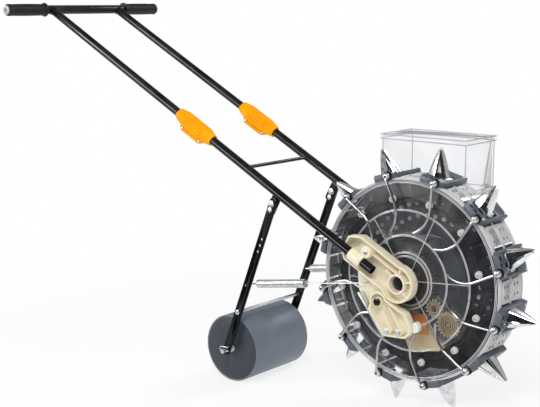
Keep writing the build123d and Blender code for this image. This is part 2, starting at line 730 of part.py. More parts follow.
with BuildPart() as seed_housing:
    housing_box()
    split(bisect_by=CHUTE_SEAM, keep=Keep.BOTTOM)
    rod(across(IDLER_X, IDLER_Z, HOUSING_NEAR), IDLER_PIN_R, HOUSING_NEAR - GEAR_NEAR - PLAY)
    rod(across(METER_X, METER_Z, HOUSING_FAR), METER_SHAFT_R + RUN, HOUSING_DEPTH, mode=Mode.SUBTRACT)
    outlet = across((GATE_POINTS[0][0] + GATE_POINTS[1][0]) / 2, HOUSING[7][1], 0)
    with BuildSketch(outlet) as slot:
        Rectangle(GATE_POINTS[1][0] - GATE_POINTS[0][0], OUTLET)
    extrude(slot.sketch, amount=-HOUSING_NEAR - 2 * HOUSING_WALL, mode=Mode.SUBTRACT)
save(seed_housing, "seed_housing")

with BuildPart() as housing_cover:
    extrude(housing_outline(COVER_FAR, 0), amount=COVER)
    rod(wheel_plane(COVER_FAR), AXLE_R + SLIP, COVER, mode=Mode.SUBTRACT)
    spout_window(COVER_FAR, 0, COVER, Mode.SUBTRACT)
    rod(across(METER_X, METER_Z, COVER_FAR), METER_SHAFT_R + RUN, COVER, mode=Mode.SUBTRACT)
save(housing_cover, "housing_cover")

with BuildPart() as seed_gate:
    prism(wheel_plane(HOUSING_NEAR), GATE_POINTS, SEED_GATE)
save(seed_gate, "seed_gate")


# Gear train from the drum to the seed wheel
def gear(centre, teeth, phase, bore):
    """Straight-flanked gear on a plane, with a tooth centred on the phase angle."""
    pitch_r = MODULE * teeth / 2
    flank = MODULE * tan(radians(PRESSURE_ANGLE)) / pitch_r
    half = TOOTH_SHARE * pi / teeth
    tip = (pitch_r + ADDENDUM * MODULE, half - 0.9 * ADDENDUM * flank)
    root = (pitch_r - DEDENDUM * MODULE, half + 0.75 * DEDENDUM * flank)
    points = []
    for k in range(teeth):
        middle = radians(phase) + 2 * pi * k / teeth
        for (r, a), hand in ((root, -1), (tip, -1), (tip, 1), (root, 1)):
            points.append((r * cos(middle + hand * a), r * sin(middle + hand * a)))
    prism(centre, points, GEAR_WIDTH)
    rod(centre, bore, GEAR_WIDTH, mode=Mode.SUBTRACT)


IDLER_PHASE = IDLER_BEARING + 180 + 180 / IDLER_TEETH
MESH_SHIFT = (IDLER_PHASE - METER_BEARING) * IDLER_TEETH / METER_TEETH
METER_PHASE = METER_BEARING + 180 - MESH_SHIFT + 180 / METER_TEETH
with BuildPart() as sun_gear:
    gear(wheel_plane(GEAR_NEAR + GEAR_WIDTH), SUN_TEETH, IDLER_BEARING, SUN_BORE)
save(sun_gear, "sun_gear")

with BuildPart() as idler_gear:
    gear(
        across(IDLER_X, IDLER_Z, GEAR_NEAR + GEAR_WIDTH + 2 * PLAY),
        IDLER_TEETH,
        IDLER_PHASE,
        IDLER_PIN_R + RUN,
    )
save(idler_gear, "idler_gear")

with BuildPart() as metering_gear:
    gear(
        across(METER_X, METER_Z, GEAR_NEAR + GEAR_WIDTH + 2 * PLAY),
        METER_TEETH,
        METER_PHASE,
        METER_SHAFT_R + SLIP,
    )
save(metering_gear, "metering_gear")

with BuildPart() as seed_wheel:
    wheel_far = across(METER_X, METER_Z, HOUSING_FAR - 2 * PLAY)
    wheel_depth = HOUSING_DEPTH - HOUSING_WALL - 4 * PLAY
    fluted = []
    for k in range(SEED_CELLS):
        for turn, radius in ((0.1, 1), (0.35, 1), (0.6, 1), (0.7, SEED_CELL), (1, SEED_CELL)):
            a = 2 * pi * (k + turn) / SEED_CELLS
            fluted.append((SEED_WHEEL_R * radius * cos(a), SEED_WHEEL_R * radius * sin(a)))
    prism(wheel_far, fluted, wheel_depth)
    rod(across(METER_X, METER_Z, COVER_FAR), METER_SHAFT_R, COVER_FAR - GEAR_NEAR - PLAY)
save(seed_wheel, "seed_wheel")


# Drum: two clear shells that meet at a seam, with a chamber ring between them
def mouths(length, lag, near, far, from_radius, depth):
    """Cut one opening under every beak."""
    for i in range(BEAKS):
        with BuildSketch(radial_plane(from_radius, BASE_ANGLE + PITCH * i)) as cut:
            with Locations((length / 2 - lag, (near + far) / 2)):
                Rectangle(length, far - near)
        extrude(cut.sketch, amount=depth, mode=Mode.SUBTRACT)


def spun(points):
    """Ring turned about the drum's axis from radius and Y pairs."""
    with BuildSketch(section_plane()) as profile:
        with BuildLine():
            Polyline(*points, close=True)
        make_face()
    revolve(profile.sketch, axis=DRUM_AXIS)


def ring_steps():
    """Radius and Y pairs of the rings moulded on the near face."""
    steps = []
    for radius in RINGS:
        for side, rise in ((-1, 0), (-1, 1), (1, 1), (1, 0)):
            steps.append((radius + side * RING_WIDTH / 2, DRUM_NEAR - rise * RING_HEIGHT))
    return steps


MOUTH_NEAR = BEAK_Y - MOUTH_HALF
MOUTH_FAR = BEAK_Y + MOUTH_HALF
MOUTH_LENGTH = MOUTH_LEAD + MOUTH_LAG
with BuildPart() as near_shell:
    spun(
        [
            (AXLE_R + RUN, HUB_FACE),
            (HUB_R, HUB_FACE),
            (HUB_R, DRUM_NEAR),
            *ring_steps(),
            (RIM_RADIUS, DRUM_NEAR),
            (RIM_RADIUS, DRUM_SEAM),
            (RIM_BORE, DRUM_SEAM),
            (RIM_BORE, DRUM_NEAR + SHELL),
            (HUB_R, DRUM_NEAR + SHELL),
            (HUB_R, HUB_FACE + HUB_DEPTH),
            (AXLE_R + RUN, HUB_FACE + HUB_DEPTH),
        ]
    )
    for i in range(SPOKES):
        with BuildSketch(wheel_plane(DRUM_NEAR + SINK, SPOKE_TURN + 360 / SPOKES * i)) as spoke:
            with Locations((0, (HUB_R + RINGS[-1]) / 2)):
                Rectangle(SPOKE_WIDTH, RINGS[-1] - HUB_R + 2 * SINK)
        extrude(spoke.sketch, amount=SINK + HUB_STEP)
    mouths(MOUTH_LENGTH, MOUTH_LAG, MOUTH_NEAR, MOUTH_FAR, RIM_RADIUS - 3 * RIM_WALL, 4 * RIM_WALL)
    for i in range(BEAKS):
        with BuildSketch(wheel_plane(DRUM_NEAR + SINK, PIVOT_ANGLE + PITCH * i)) as boss:
            with Locations((0, SCREW_BOSS_RADIUS)):
                RegularPolygon(SCREW_BOSS_R, 8, major_radius=False)
        extrude(boss.sketch, amount=SINK + SCREW_BOSS_HEIGHT)
save(near_shell, "near_shell")

with BuildPart() as far_shell:
    spun(
        [
            (PLATE_LAND_R, DRUM_FAR),
            (RIM_RADIUS, DRUM_FAR),
            (RIM_RADIUS, DRUM_SEAM),
            (RIM_BORE, DRUM_SEAM),
            (RIM_BORE, DRUM_FAR - SHELL),
            (PLATE_LAND_R, DRUM_FAR - SHELL),
        ]
    )
    mouths(MOUTH_LENGTH, MOUTH_LAG, MOUTH_NEAR, MOUTH_FAR, RIM_RADIUS - 3 * RIM_WALL, 4 * RIM_WALL)
save(far_shell, "far_shell")

with BuildPart() as chamber_ring:
    chamber_near = DRUM_NEAR + SHELL
    chamber_far = DRUM_FAR - SHELL
    chamber_out = CHAMBER_BORE + CHAMBER_WALL
    for y, outer, inner, amount in (
        (chamber_far, CHAMBER_RADIUS * cos(pi / BEAKS), WEB_BORE, SHELL),
        (chamber_far, chamber_out, CHAMBER_BORE, chamber_far - chamber_near),
    ):
        with BuildSketch(wheel_plane(y, BASE_ANGLE)) as flats:
            RegularPolygon(outer, BEAKS, major_radius=False, rotation=180 / BEAKS)
            RegularPolygon(inner, BEAKS, major_radius=False, rotation=180 / BEAKS, mode=Mode.SUBTRACT)
        extrude(flats.sketch, amount=amount)
    for i in range(BEAKS):
        with BuildSketch(radial_plane(chamber_out, BASE_ANGLE + PITCH * (i + 0.5))) as divider:
            with Locations((0, (chamber_near + chamber_far) / 2)):
                Rectangle(SHELL, chamber_far - chamber_near - SHELL)
        extrude(divider.sketch, amount=CHAMBER_RADIUS - chamber_out)
    mouths(
        MOUTH_LENGTH - 2 * SEED_HOLE_INSET,
        MOUTH_LAG - SEED_HOLE_INSET,
        MOUTH_NEAR + SEED_HOLE_SIDE,
        MOUTH_FAR - SEED_HOLE_SIDE,
        CHAMBER_BORE - 2 * CHAMBER_WALL,
        4 * CHAMBER_WALL,
    )
save(chamber_ring, "chamber_ring")


# Beaks: a base on the rim, a fixed trailing jaw, and a moving leading jaw on a bent wire lever
def jaw_points(split, depth, half, over=0.0):
    """Half of a folded beak seen along it: open at the split, or past it, and flat at its back."""
    side = [(split + depth, half[1]), (split, half[0])]
    side += [(split - over, half[0])] if over else []
    return [(s, BEAK_Y - y) for s, y in reversed(side)] + [(s, BEAK_Y + y) for s, y in side]


def jaw(root_h, tip_h, split, tip_split, depth, half):
    """Folded sheet beak half that narrows from its root to its tip, hollow almost to the end."""
    hand = 1 if depth > 0 else -1
    tip = (TIP_HALF, TIP_HALF - TIP_DEPTH * (half[0] - half[1]) / abs(depth))
    outer = (jaw_points(split, depth, half), jaw_points(tip_split, hand * TIP_DEPTH, tip))
    tapered([radial_plane(h, BASE_ANGLE) for h in (root_h, tip_h)], outer)
    inner = (half[0] - JAW_WALL, half[1] - JAW_WALL)
    inner_depth = depth - hand * JAW_WALL
    inner_tip = [HOLLOW_TIP * h for h in inner]
    hollow = jaw_points(split, inner_depth, inner, hand)
    hollow_tip = jaw_points(tip_split, HOLLOW_TIP * inner_depth, inner_tip, HOLLOW_TIP * hand)
    shares = (-0.02, HOLLOW_TO)
    tapered(
        [radial_plane(root_h + (tip_h - root_h) * s, BASE_ANGLE) for s in shares],
        [blend(hollow, hollow_tip, s) for s in shares],
        Mode.SUBTRACT,
    )


FIXED_SPLIT = JAW_SPLIT - JAW_GAP / 2
MOVING_SPLIT = JAW_SPLIT + JAW_GAP / 2
TIP_LEAD = TIP_S + TIP_DEPTH / 2
MOVING_TIP = TIP_LEAD + JAW_GAP
PIVOT_X = PIVOT_RADIUS * sin(radians(PIVOT_ANGLE))
PIVOT_Z = PIVOT_RADIUS * cos(radians(PIVOT_ANGLE))
with BuildPart() as base:
    flat_side = (
        (-BASE_LAG + BASE_NARROW, BASE_NEAR),
        (BASE_LEAD - BASE_NARROW, BASE_NEAR),
        (BASE_LEAD, BASE_NEAR + BASE_SHOULDER),
        (BASE_LEAD, BASE_FAR),
        (-BASE_LAG, BASE_FAR),
        (-BASE_LAG, BASE_NEAR + BASE_SHOULDER),
    )
    prism(radial_plane(RIM_BORE, BASE_ANGLE), flat_side, BASE_TOP - RIM_BORE)
    with BuildSketch(radial_plane(RIM_BORE - SINK, BASE_ANGLE)) as mouth:
        with Locations(((MOUTH_LEAD - MOUTH_LAG) / 2, BEAK_Y)):
            Rectangle(MOUTH_LENGTH, 2 * MOUTH_HALF)
    extrude(mouth.sketch, amount=2 * (BASE_TOP - RIM_BORE), mode=Mode.SUBTRACT)
    rod(wheel_plane(BASE_FAR), RIM_RADIUS + SLIP, BASE_FAR - BASE_NEAR, mode=Mode.SUBTRACT)
    channel = PIVOT_H + WIRE_R + RUN - RIM_BORE
    with BuildSketch(wheel_plane(ROD_END + PLAY, BASE_ANGLE)) as groove:
        with Locations((PIVOT_LEAD, RIM_BORE + channel / 2)):
            Rectangle(2 * (WIRE_R + RUN), channel)
    extrude(groove.sketch, amount=ROD_END + PLAY - BASE_NEAR, mode=Mode.SUBTRACT)

with BuildPart() as beak_bases:
    add(around(base.part))
save(beak_bases, "beak_bases")

with BuildPart() as fixed_jaw:
    jaw(BASE_TOP, TIP_H, FIXED_SPLIT, TIP_LEAD, -FIXED_BACK - FIXED_SPLIT, FIXED_ROOT)

with BuildPart() as fixed_jaws:
    add(around(fixed_jaw.part))
save(fixed_jaws, "fixed_jaws")


def lever_point(lead, drop, y):
    """A point of the lever, given ahead of its pivot and below it along the radius."""
    a = radians(PIVOT_ANGLE)
    radius = PIVOT_RADIUS - drop
    return (AXLE_X + radius * sin(a) + lead * cos(a), y, AXLE_Z + radius * cos(a) - lead * sin(a))


with BuildPart() as lever:
    corners = (
        lever_point(0, 0, ROD_END),
        lever_point(0, 0, LEVER_Y),
        lever_point(*LEVER_KNEE, LEVER_Y),
        lever_point(*LEVER_END, LEVER_Y),
    )
    with BuildLine() as wire:
        Polyline(*rounded(corners, (LEVER_BEND, LEVER_TURN), BEND_STEPS))
    with BuildSketch(across(PIVOT_X, PIVOT_Z, ROD_END)) as wire_section:
        RegularPolygon(WIRE_R, 6)
    sweep(wire_section.sketch, path=wire.wires()[0], transition=Transition.RIGHT)
    with BuildSketch(across(PIVOT_X, PIVOT_Z, BEAK_Y + SLEEVE_HALF)) as sleeve:
        RegularPolygon(SLEEVE_R, 6)
    extrude(sleeve.sketch, amount=2 * SLEEVE_HALF)
    moving_tip_h = TIP_H - MOVING_SHORT
    jaw(BASE_TOP + PLAY, moving_tip_h, MOVING_SPLIT, MOVING_TIP, MOVING_FRONT - MOVING_SPLIT, MOVING_ROOT)

for i in range(BEAKS):
    with BuildPart() as beak_lever:
        add(lever.part.rotate(DRUM_AXIS, PITCH * i))
    save(beak_lever, f"beak_lever_{i + 1:02d}")


# Hopper: a tapering clear bin beside the drum with a spout into the side plate, and a lift-off lid
HOPPER_Y = PLATE_FAR + LID_LIP + HOPPER_WIDTH / 2
THROAT_Y = PLATE_FAR + THROAT_GAP + THROAT_WIDTH / 2


def hopper_plane(height):
    """Plane square to the hopper's lean, at a height from the axle."""
    a = radians(HOPPER_TILT)
    centre = (AXLE_X + height * sin(a), 0, AXLE_Z + height * cos(a))
    return Plane(origin=centre, x_dir=(cos(a), 0, -sin(a)), z_dir=(sin(a), 0, cos(a)))


def hopper_block(inset, top, bottom, mode):
    """Bin, funnel and throat as one block, drawn in by a wall."""
    bin_size = (HOPPER_X, HOPPER_Y, HOPPER_LENGTH - 2 * inset, HOPPER_WIDTH - 2 * inset)
    throat_size = (0, THROAT_Y, THROAT_LENGTH - 2 * inset, THROAT_WIDTH - 2 * inset)
    heights = (top, HOPPER_TOP - HOPPER_STRAIGHT, THROAT_TOP, bottom)
    sizes = (bin_size, bin_size, throat_size, throat_size)
    tapered([hopper_plane(h) for h in heights], [oblong(*s) for s in sizes], mode)


with BuildPart() as hopper_bin:
    hopper_block(0, HOPPER_TOP, THROAT_BOTTOM, Mode.ADD)
    spout_window(THROAT_Y, 0, THROAT_Y - PLATE_FACE, Mode.ADD)
    hopper_block(HOPPER_WALL, HOPPER_TOP + 1, THROAT_BOTTOM + HOPPER_WALL, Mode.SUBTRACT)
    spout_window(THROAT_Y, -HOPPER_WALL, THROAT_Y - PLATE_FACE, Mode.SUBTRACT)
save(hopper_bin, "hopper_bin")

with BuildPart() as hopper_lid:
    for height, grow, amount, mode in (
        (HOPPER_TOP - LID_SKIRT, LID_LIP, LID_SKIRT + LID_WALL, Mode.ADD),
        (HOPPER_TOP - LID_SKIRT, RUN, LID_SKIRT, Mode.SUBTRACT),
    ):
        with BuildSketch(hopper_plane(height)) as plate:
            with Locations((HOPPER_X, HOPPER_Y)):
                Rectangle(HOPPER_LENGTH + 2 * grow, HOPPER_WIDTH + 2 * grow)
        extrude(plate.sketch, amount=amount, mode=mode)
save(hopper_lid, "hopper_lid")


# Roller arms, hung from lugs under the tubes
HINGE_X, HINGE_Z = tube_to_axle(HINGE_AT, -HINGE_DROP)
ROLLER_Z = ROLLER_R - AXLE_Z
ARM_LENGTH = hypot(ROLLER_X - HINGE_X, ROLLER_Z - HINGE_Z)
ARM_DX = (ROLLER_X - HINGE_X) / ARM_LENGTH
ARM_DZ = (ROLLER_Z - HINGE_Z) / ARM_LENGTH
LUG_OUTER = LUG_SET - TUBE_Y
ARM_INNER = LUG_OUTER
ARM_OUTER = ARM_INNER - ARM_THICKNESS


def on_arm(along):
    """A point on the arm's centre line, as forward and up from the axle."""
    return (HINGE_X + ARM_DX * along, HINGE_Z + ARM_DZ * along)


def arm_side(y):
    """Plane beside the near arm: local x runs down along the arm from its hinge, normal inboard."""
    return Plane(
        origin=(AXLE_X + HINGE_X, y, AXLE_Z + HINGE_Z), x_dir=(ARM_DX, 0, ARM_DZ), z_dir=(0, 1, 0)
    )


with BuildPart() as arm_lugs:
    lug_foot = -HINGE_DROP - STOP_REACH - LUG_WIDTH / 2
    lug = [(-LUG_WIDTH / 2, 0), (-LUG_WIDTH / 2, lug_foot + LUG_CORNER)]
    lug += [(LUG_CORNER - LUG_WIDTH / 2, lug_foot)]
    lug += [(-a, b) for a, b in reversed(lug)]
    prism(tube_side(LUG_OUTER), [(HINGE_AT + a, b) for a, b in lug], LUG_THICKNESS)
    rod(tube_plane(HINGE_AT - LUG_WIDTH), TUBE_R, 2 * LUG_WIDTH, mode=Mode.SUBTRACT)
    rod(across(HINGE_X, HINGE_Z, 0), M8_R + SLIP, TUBE_SPACING, mode=Mode.SUBTRACT)
    with BuildSketch(arm_side(LUG_OUTER)) as stop_slot:
        with Locations((STOP_REACH, 0)):
            SlotCenterToCenter(
                2 * STOP_REACH * sin(radians(ARM_SWING + 1)), 2 * (M6_R + STOP_PLAY), rotation=90
            )
    extrude(stop_slot.sketch, amount=LUG_THICKNESS, mode=Mode.SUBTRACT)
    mirror(about=Plane.XZ)
save(arm_lugs, "arm_lugs")

with BuildPart() as hinge_bolts:
    bolt(across(HINGE_X, HINGE_Z, ARM_OUTER - PLAY), M8_R, ARM_THICKNESS + LUG_THICKNESS + PLAY)
    mirror(about=Plane.XZ)
save(hinge_bolts, "hinge_bolts")

with BuildPart() as near_arm:
    with BuildSketch(arm_side(ARM_OUTER)) as bar:
        with Locations((ARM_LENGTH / 2, 0)):
            SlotOverall(ARM_LENGTH + 2 * ARM_OVERHANG, ARM_WIDTH)
        for along, radius in (
            (0, M8_R + RUN),
            (STOP_REACH, M6_R + SLIP),
            *[(along, ARM_HOLE_R) for along in ARM_HOLES],
            (ARM_SPRING_AT, SPRING_EYE_R),
            (STAY_AT, M6_R + SLIP),
            (ARM_LENGTH, ROLLER_AXLE_R + SLIP),
        ):
            with Locations((along, 0)):
                Circle(radius, mode=Mode.SUBTRACT)
    extrude(bar.sketch, amount=ARM_THICKNESS)
save(near_arm, "near_arm")
mirrored(near_arm, "far_arm")

with BuildPart() as stop_bolts:
    bolt(across(*on_arm(STOP_REACH), ARM_OUTER), M6_R, ARM_THICKNESS + LUG_THICKNESS + PLAY)
    mirror(about=Plane.XZ)
save(stop_bolts, "stop_bolts")

with BuildPart() as stay_rod:
    rod(across(*on_arm(STAY_AT), -ARM_INNER), STAY_R, -2 * ARM_INNER)
    bolt(across(*on_arm(STAY_AT), ARM_OUTER), M6_R, -2 * ARM_OUTER)
save(stay_rod, "stay_rod")


# Press roller, turning on a fixed axle between the arms
def roller_plane(y):
    return across(ROLLER_X, ROLLER_Z, y)


AXLE_TIP = -ARM_OUTER + ROLLER_AXLE_END
CLIP_Y = ARM_OUTER - ROLLER_AXLE_END / 2
with BuildPart() as roller_axle:
    rod(roller_plane(AXLE_TIP), ROLLER_AXLE_R, 2 * AXLE_TIP)
    for y in (CLIP_Y, -CLIP_Y):
        hole = Plane(origin=(AXLE_X + ROLLER_X - ROLLER_R, y, AXLE_Z + ROLLER_Z), z_dir=(1, 0, 0))
        rod(hole, CLIP_R + SLIP, 2 * ROLLER_R, mode=Mode.SUBTRACT)
save(roller_axle, "roller_axle")

with BuildPart() as roller_clips:
    turn = 2 * CLIP_BEND
    bends = ((CLIP_REACH, 0), (-CLIP_REACH, 0), (-CLIP_REACH, turn), (CLIP_REACH, turn))
    with BuildLine() as clip:
        bent = [roller_plane(CLIP_Y).from_local_coords(p) for p in bends]
        Polyline(*rounded(bent, [CLIP_BEND * 0.9] * 2, 3))
    clip_start = Plane(
        origin=(AXLE_X + ROLLER_X + CLIP_REACH, CLIP_Y, AXLE_Z + ROLLER_Z), z_dir=(-1, 0, 0)
    )
    with BuildSketch(clip_start) as clip_section:
        RegularPolygon(CLIP_R, 6)
    sweep(clip_section.sketch, path=clip.wires()[0], transition=Transition.RIGHT)
    mirror(about=Plane.XZ)
save(roller_clips, "roller_clips")

with BuildPart() as roller_drum:
    with BuildSketch(roller_plane(ROLLER_LENGTH / 2)) as wall:
        Circle(ROLLER_R)
        Circle(ROLLER_R - ROLLER_WALL, mode=Mode.SUBTRACT)
    extrude(wall.sketch, amount=ROLLER_LENGTH)
save(roller_drum, "roller_drum")

with BuildPart() as roller_caps:
    rod(roller_plane(-ROLLER_LENGTH / 2), ROLLER_R - ROLLER_WALL - SLIP, -ROLLER_CAP)
    rod(roller_plane(-ROLLER_LENGTH / 2), BUSH_R + SLIP, -ROLLER_CAP, mode=Mode.SUBTRACT)
    mirror(about=Plane.XZ)
save(roller_caps, "roller_caps")

with BuildPart() as roller_bushes:
    bush_in = ROLLER_CAP - ROLLER_LENGTH / 2
    with BuildSketch(roller_plane(bush_in)) as bush:
        Circle(BUSH_R)
        Circle(ROLLER_AXLE_R + RUN, mode=Mode.SUBTRACT)
    extrude(bush.sketch, amount=bush_in - ARM_INNER - PLAY)
    mirror(about=Plane.XZ)
save(roller_bushes, "roller_bushes")


# Tension springs from the arms to the brackets, each one unbroken wire
def biarc(start, way, end, end_way):
    """Two arcs that join two points along given directions."""
    run = end - start
    spread = 2 * (1 - way.dot(end_way))
    lean = run.dot(way + end_way)
    reach = (-lean + sqrt(lean**2 + spread * run.dot(run))) / spread
    joint = (start + end + (way - end_way) * reach) * 0.5
    TangentArc(start, joint, tangent=way)
    TangentArc(joint, end, tangent=-end_way, tangent_from_first=False)


EYE_X, EYE_Z = on_arm(ARM_SPRING_AT)
COIL_R = SPRING_OD / 2 - SPRING_WIRE / 2
ARM_EYE = Vector(AXLE_X + EYE_X, SPRING_Y, AXLE_Z + EYE_Z)
BRACKET_EYE = Vector(AXLE_X + SPRING_EYE[0], SPRING_Y, AXLE_Z + SPRING_EYE[1])
PULL = (BRACKET_EYE - ARM_EYE).normalized()
SIDE = Vector(0, 1, 0)
LIFT = PULL.cross(SIDE)


def coil_point(turn):
    """Point of the wire after a number of turns; before and after the coil it winds in to the axis."""
    if turn < 0:
        return wound_in(turn, 1 + turn / SPRING_RAMP)
    if turn > SPRING_TURNS:
        return wound_in(turn, 1 + (SPRING_TURNS - turn) / SPRING_RAMP)
    return on_coil(turn, COIL_R, SPRING_LEAD + SPRING_PITCH * turn)


def on_coil(turn, radius, along):
    a = 2 * pi * turn
    return ARM_EYE + PULL * along + (SIDE * cos(a) + LIFT * sin(a)) * radius


def wound_in(turn, share):
    """Point of the wire part of the way from the axis to the coil."""
    radius = COIL_R * (3 * share**2 - 2 * share**3)
    rest = 1 - share
    short = SPRING_PITCH * SPRING_RAMP
    before = short * rest + (SPRING_RAMP_LENGTH - short) * rest**2
    along = SPRING_LEAD - before if turn < 0 else SPRING_LEAD + SPRING_PITCH * SPRING_TURNS + before
    return on_coil(turn, radius, along)


def coil_node(turn):
    """Point and direction of the wire after a number of turns."""
    if not -SPRING_RAMP < turn < SPRING_TURNS + SPRING_RAMP:
        return coil_point(turn), PULL
    return coil_point(turn), (coil_point(turn + 1e-5) - coil_point(turn - 1e-5)).normalized()


with BuildPart() as near_spring:
    tail_end = ARM_EYE - SIDE * (SPRING_Y - ARM_OUTER + SPRING_TAIL)
    bend_start = ARM_EYE - SIDE * SPRING_BEND
    bend_end = ARM_EYE + PULL * SPRING_BEND
    hook_start = BRACKET_EYE - PULL * SPRING_BEND
    hook_end = BRACKET_EYE + SIDE * SPRING_BEND
    hook_tail = BRACKET_EYE + SIDE * (BRACKET_INNER - SPRING_Y + SPRING_TAIL)
    with BuildLine() as spring_wire:
        Line(tail_end, bend_start)
        TangentArc(bend_start, bend_end, tangent=SIDE)
        ramp = [SPRING_RAMP * k / RAMP_STEPS for k in range(RAMP_STEPS, 0, -1)]
        turns = [-r for r in ramp] + [k / 2 for k in range(2 * SPRING_TURNS + 1)]
        nodes = [coil_node(t) for t in turns + [SPRING_TURNS + r for r in reversed(ramp)]]
        Line(bend_end, nodes[0][0])
        for node, after in zip(nodes, nodes[1:]):
            biarc(*node, *after)
        coil_end = nodes[-1][0]
        Line(coil_end, hook_start)
        TangentArc(hook_start, hook_end, tangent=PULL)
        Line(hook_end, hook_tail)
    with BuildSketch(Plane(origin=tail_end, x_dir=PULL, z_dir=SIDE)) as spring_section:
        Rectangle(SPRING_WIRE, SPRING_WIRE)
    sweep(spring_section.sketch, path=spring_wire.wires()[0], clean=False)
save(near_spring, "near_spring")
mirrored(near_spring, "far_spring")

STEPS = 40 * SPRING_TURNS
trail = [spring_wire.wires()[0] @ (k / STEPS) for k in range(STEPS + 1)]
apart = int(4 * SPRING_WIRE * STEPS / spring_wire.wires()[0].length)
least = min((trail[i] - trail[j]).length for i in range(STEPS) for j in range(i + apart, STEPS + 1))
print(f"spring: least gap between turns {least - SPRING_WIRE * sqrt(2):.2f} mm")
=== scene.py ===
"""Looks of the walk-behind seed planter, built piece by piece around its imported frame."""

import json
from math import asin, atan2, cos, pi, radians, sin, sqrt

import bmesh
import bpy
from mathutils import Matrix, Quaternion, Vector


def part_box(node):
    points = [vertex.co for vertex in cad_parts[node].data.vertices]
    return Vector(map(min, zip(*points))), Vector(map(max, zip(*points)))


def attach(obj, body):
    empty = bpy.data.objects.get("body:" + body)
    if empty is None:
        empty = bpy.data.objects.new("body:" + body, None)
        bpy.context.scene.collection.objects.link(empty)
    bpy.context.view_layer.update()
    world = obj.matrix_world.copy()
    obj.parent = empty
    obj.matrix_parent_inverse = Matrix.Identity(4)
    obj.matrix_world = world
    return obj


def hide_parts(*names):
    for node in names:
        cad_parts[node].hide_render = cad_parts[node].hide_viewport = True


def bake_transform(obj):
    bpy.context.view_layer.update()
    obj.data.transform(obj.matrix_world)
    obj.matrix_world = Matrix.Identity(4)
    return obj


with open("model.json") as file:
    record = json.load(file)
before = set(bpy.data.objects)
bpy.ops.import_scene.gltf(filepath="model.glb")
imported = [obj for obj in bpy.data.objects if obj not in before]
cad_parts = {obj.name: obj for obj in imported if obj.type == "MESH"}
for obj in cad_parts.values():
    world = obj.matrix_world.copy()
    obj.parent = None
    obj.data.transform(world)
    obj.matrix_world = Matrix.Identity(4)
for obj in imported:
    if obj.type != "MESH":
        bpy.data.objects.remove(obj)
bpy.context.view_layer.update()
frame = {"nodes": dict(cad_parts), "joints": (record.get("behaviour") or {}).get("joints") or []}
scene = bpy.context.scene
scene.view_settings.view_transform = "Standard"

# Camera: stands low on the near side, a little ahead of the wheel, with a slight roll. Its place and lens
# come from fitting the wheel, the tubes and the roller to the photograph.
joint_at = {j["name"]: Vector(j["pos_m"]) for j in frame["joints"] if "pos_m" in j}
AXLE = joint_at["drum_spin"]
CAMERA_FROM_AXLE = Vector((1.2467, -1.8818, 0.437))
TARGET_FROM_AXLE = Vector((-0.40214, 0, 0.13681))
CAMERA_ROLL = radians(-4.0)
CAMERA_LENS, CAMERA_SENSOR = 74.43, 36.0
camera = bpy.data.objects.new("camera", bpy.data.cameras.new("camera"))
scene.collection.objects.link(camera)
camera.data.sensor_width = CAMERA_SENSOR
camera.data.lens = CAMERA_LENS
camera.location = AXLE + CAMERA_FROM_AXLE
camera.rotation_mode = "QUATERNION"
look = (TARGET_FROM_AXLE - CAMERA_FROM_AXLE).to_track_quat("-Z", "Y")
camera.rotation_quaternion = look @ Quaternion((0, 0, 1), CAMERA_ROLL)
scene.camera = camera


# Studio: a white floor that keeps the shadow near the machine and fades into a white surround, a large soft
# key lamp over the camera's shoulder, a fill and a rim lamp. Only shine sees the black cards and the long
# strip lamp, which draws the bright line along the tubes.
class Link:
    """A value in a node tree. Arithmetic on links adds Math nodes, and node() adds any other one."""

    def __init__(self, tree, socket=None):
        self.tree = tree
        self.socket = socket

    def node(self, kind, settings=(), sockets=(), out=0):
        made = self.tree.nodes.new(kind)
        for name, value in dict(settings).items():
            setattr(made, name, value)
        for name, value in dict(sockets).items():
            if isinstance(value, Link):
                self.tree.links.new(value.socket, made.inputs[name])
            else:
                made.inputs[name].default_value = value
        return Link(self.tree, made.outputs[out] if len(made.outputs) else None)

    def maths(self, operation, first, second):
        return self.node("ShaderNodeMath", {"operation": operation}, {0: first, 1: second})

    def __add__(self, other):
        return self.maths("ADD", self, other)

    __radd__ = __add__

    def __sub__(self, other):
        return self.maths("SUBTRACT", self, other)

    def __rsub__(self, other):
        return self.maths("SUBTRACT", other, self)

    def __mul__(self, other):
        return self.maths("MULTIPLY", self, other)

    def __rtruediv__(self, other):
        return self.maths("DIVIDE", other, self)

    def __pow__(self, other):
        return self.maths("POWER", self, other)

    def between(self, low, high):
        """0 below the low value, 1 above the high one, and smooth between them."""
        sockets = {"Value": self, "From Min": low, "From Max": high}
        return self.node("ShaderNodeMapRange", {"interpolation_type": "SMOOTHSTEP"}, sockets)

    def mix(self, low, high):
        """Two colours mixed by this value."""
        return self.node("ShaderNodeMix", {"data_type": "RGBA"}, {0: self, 6: low, 7: high}, out=2)


def new_finish(name):
    """An empty material and its Object coordinates."""
    material = bpy.data.materials.new(name)
    material.use_nodes = True
    material.node_tree.nodes.clear()
    return material, Link(material.node_tree).node("ShaderNodeTexCoord", out="Object")


def surface(shader):
    shader.node("ShaderNodeOutputMaterial", (), {"Surface": shader})


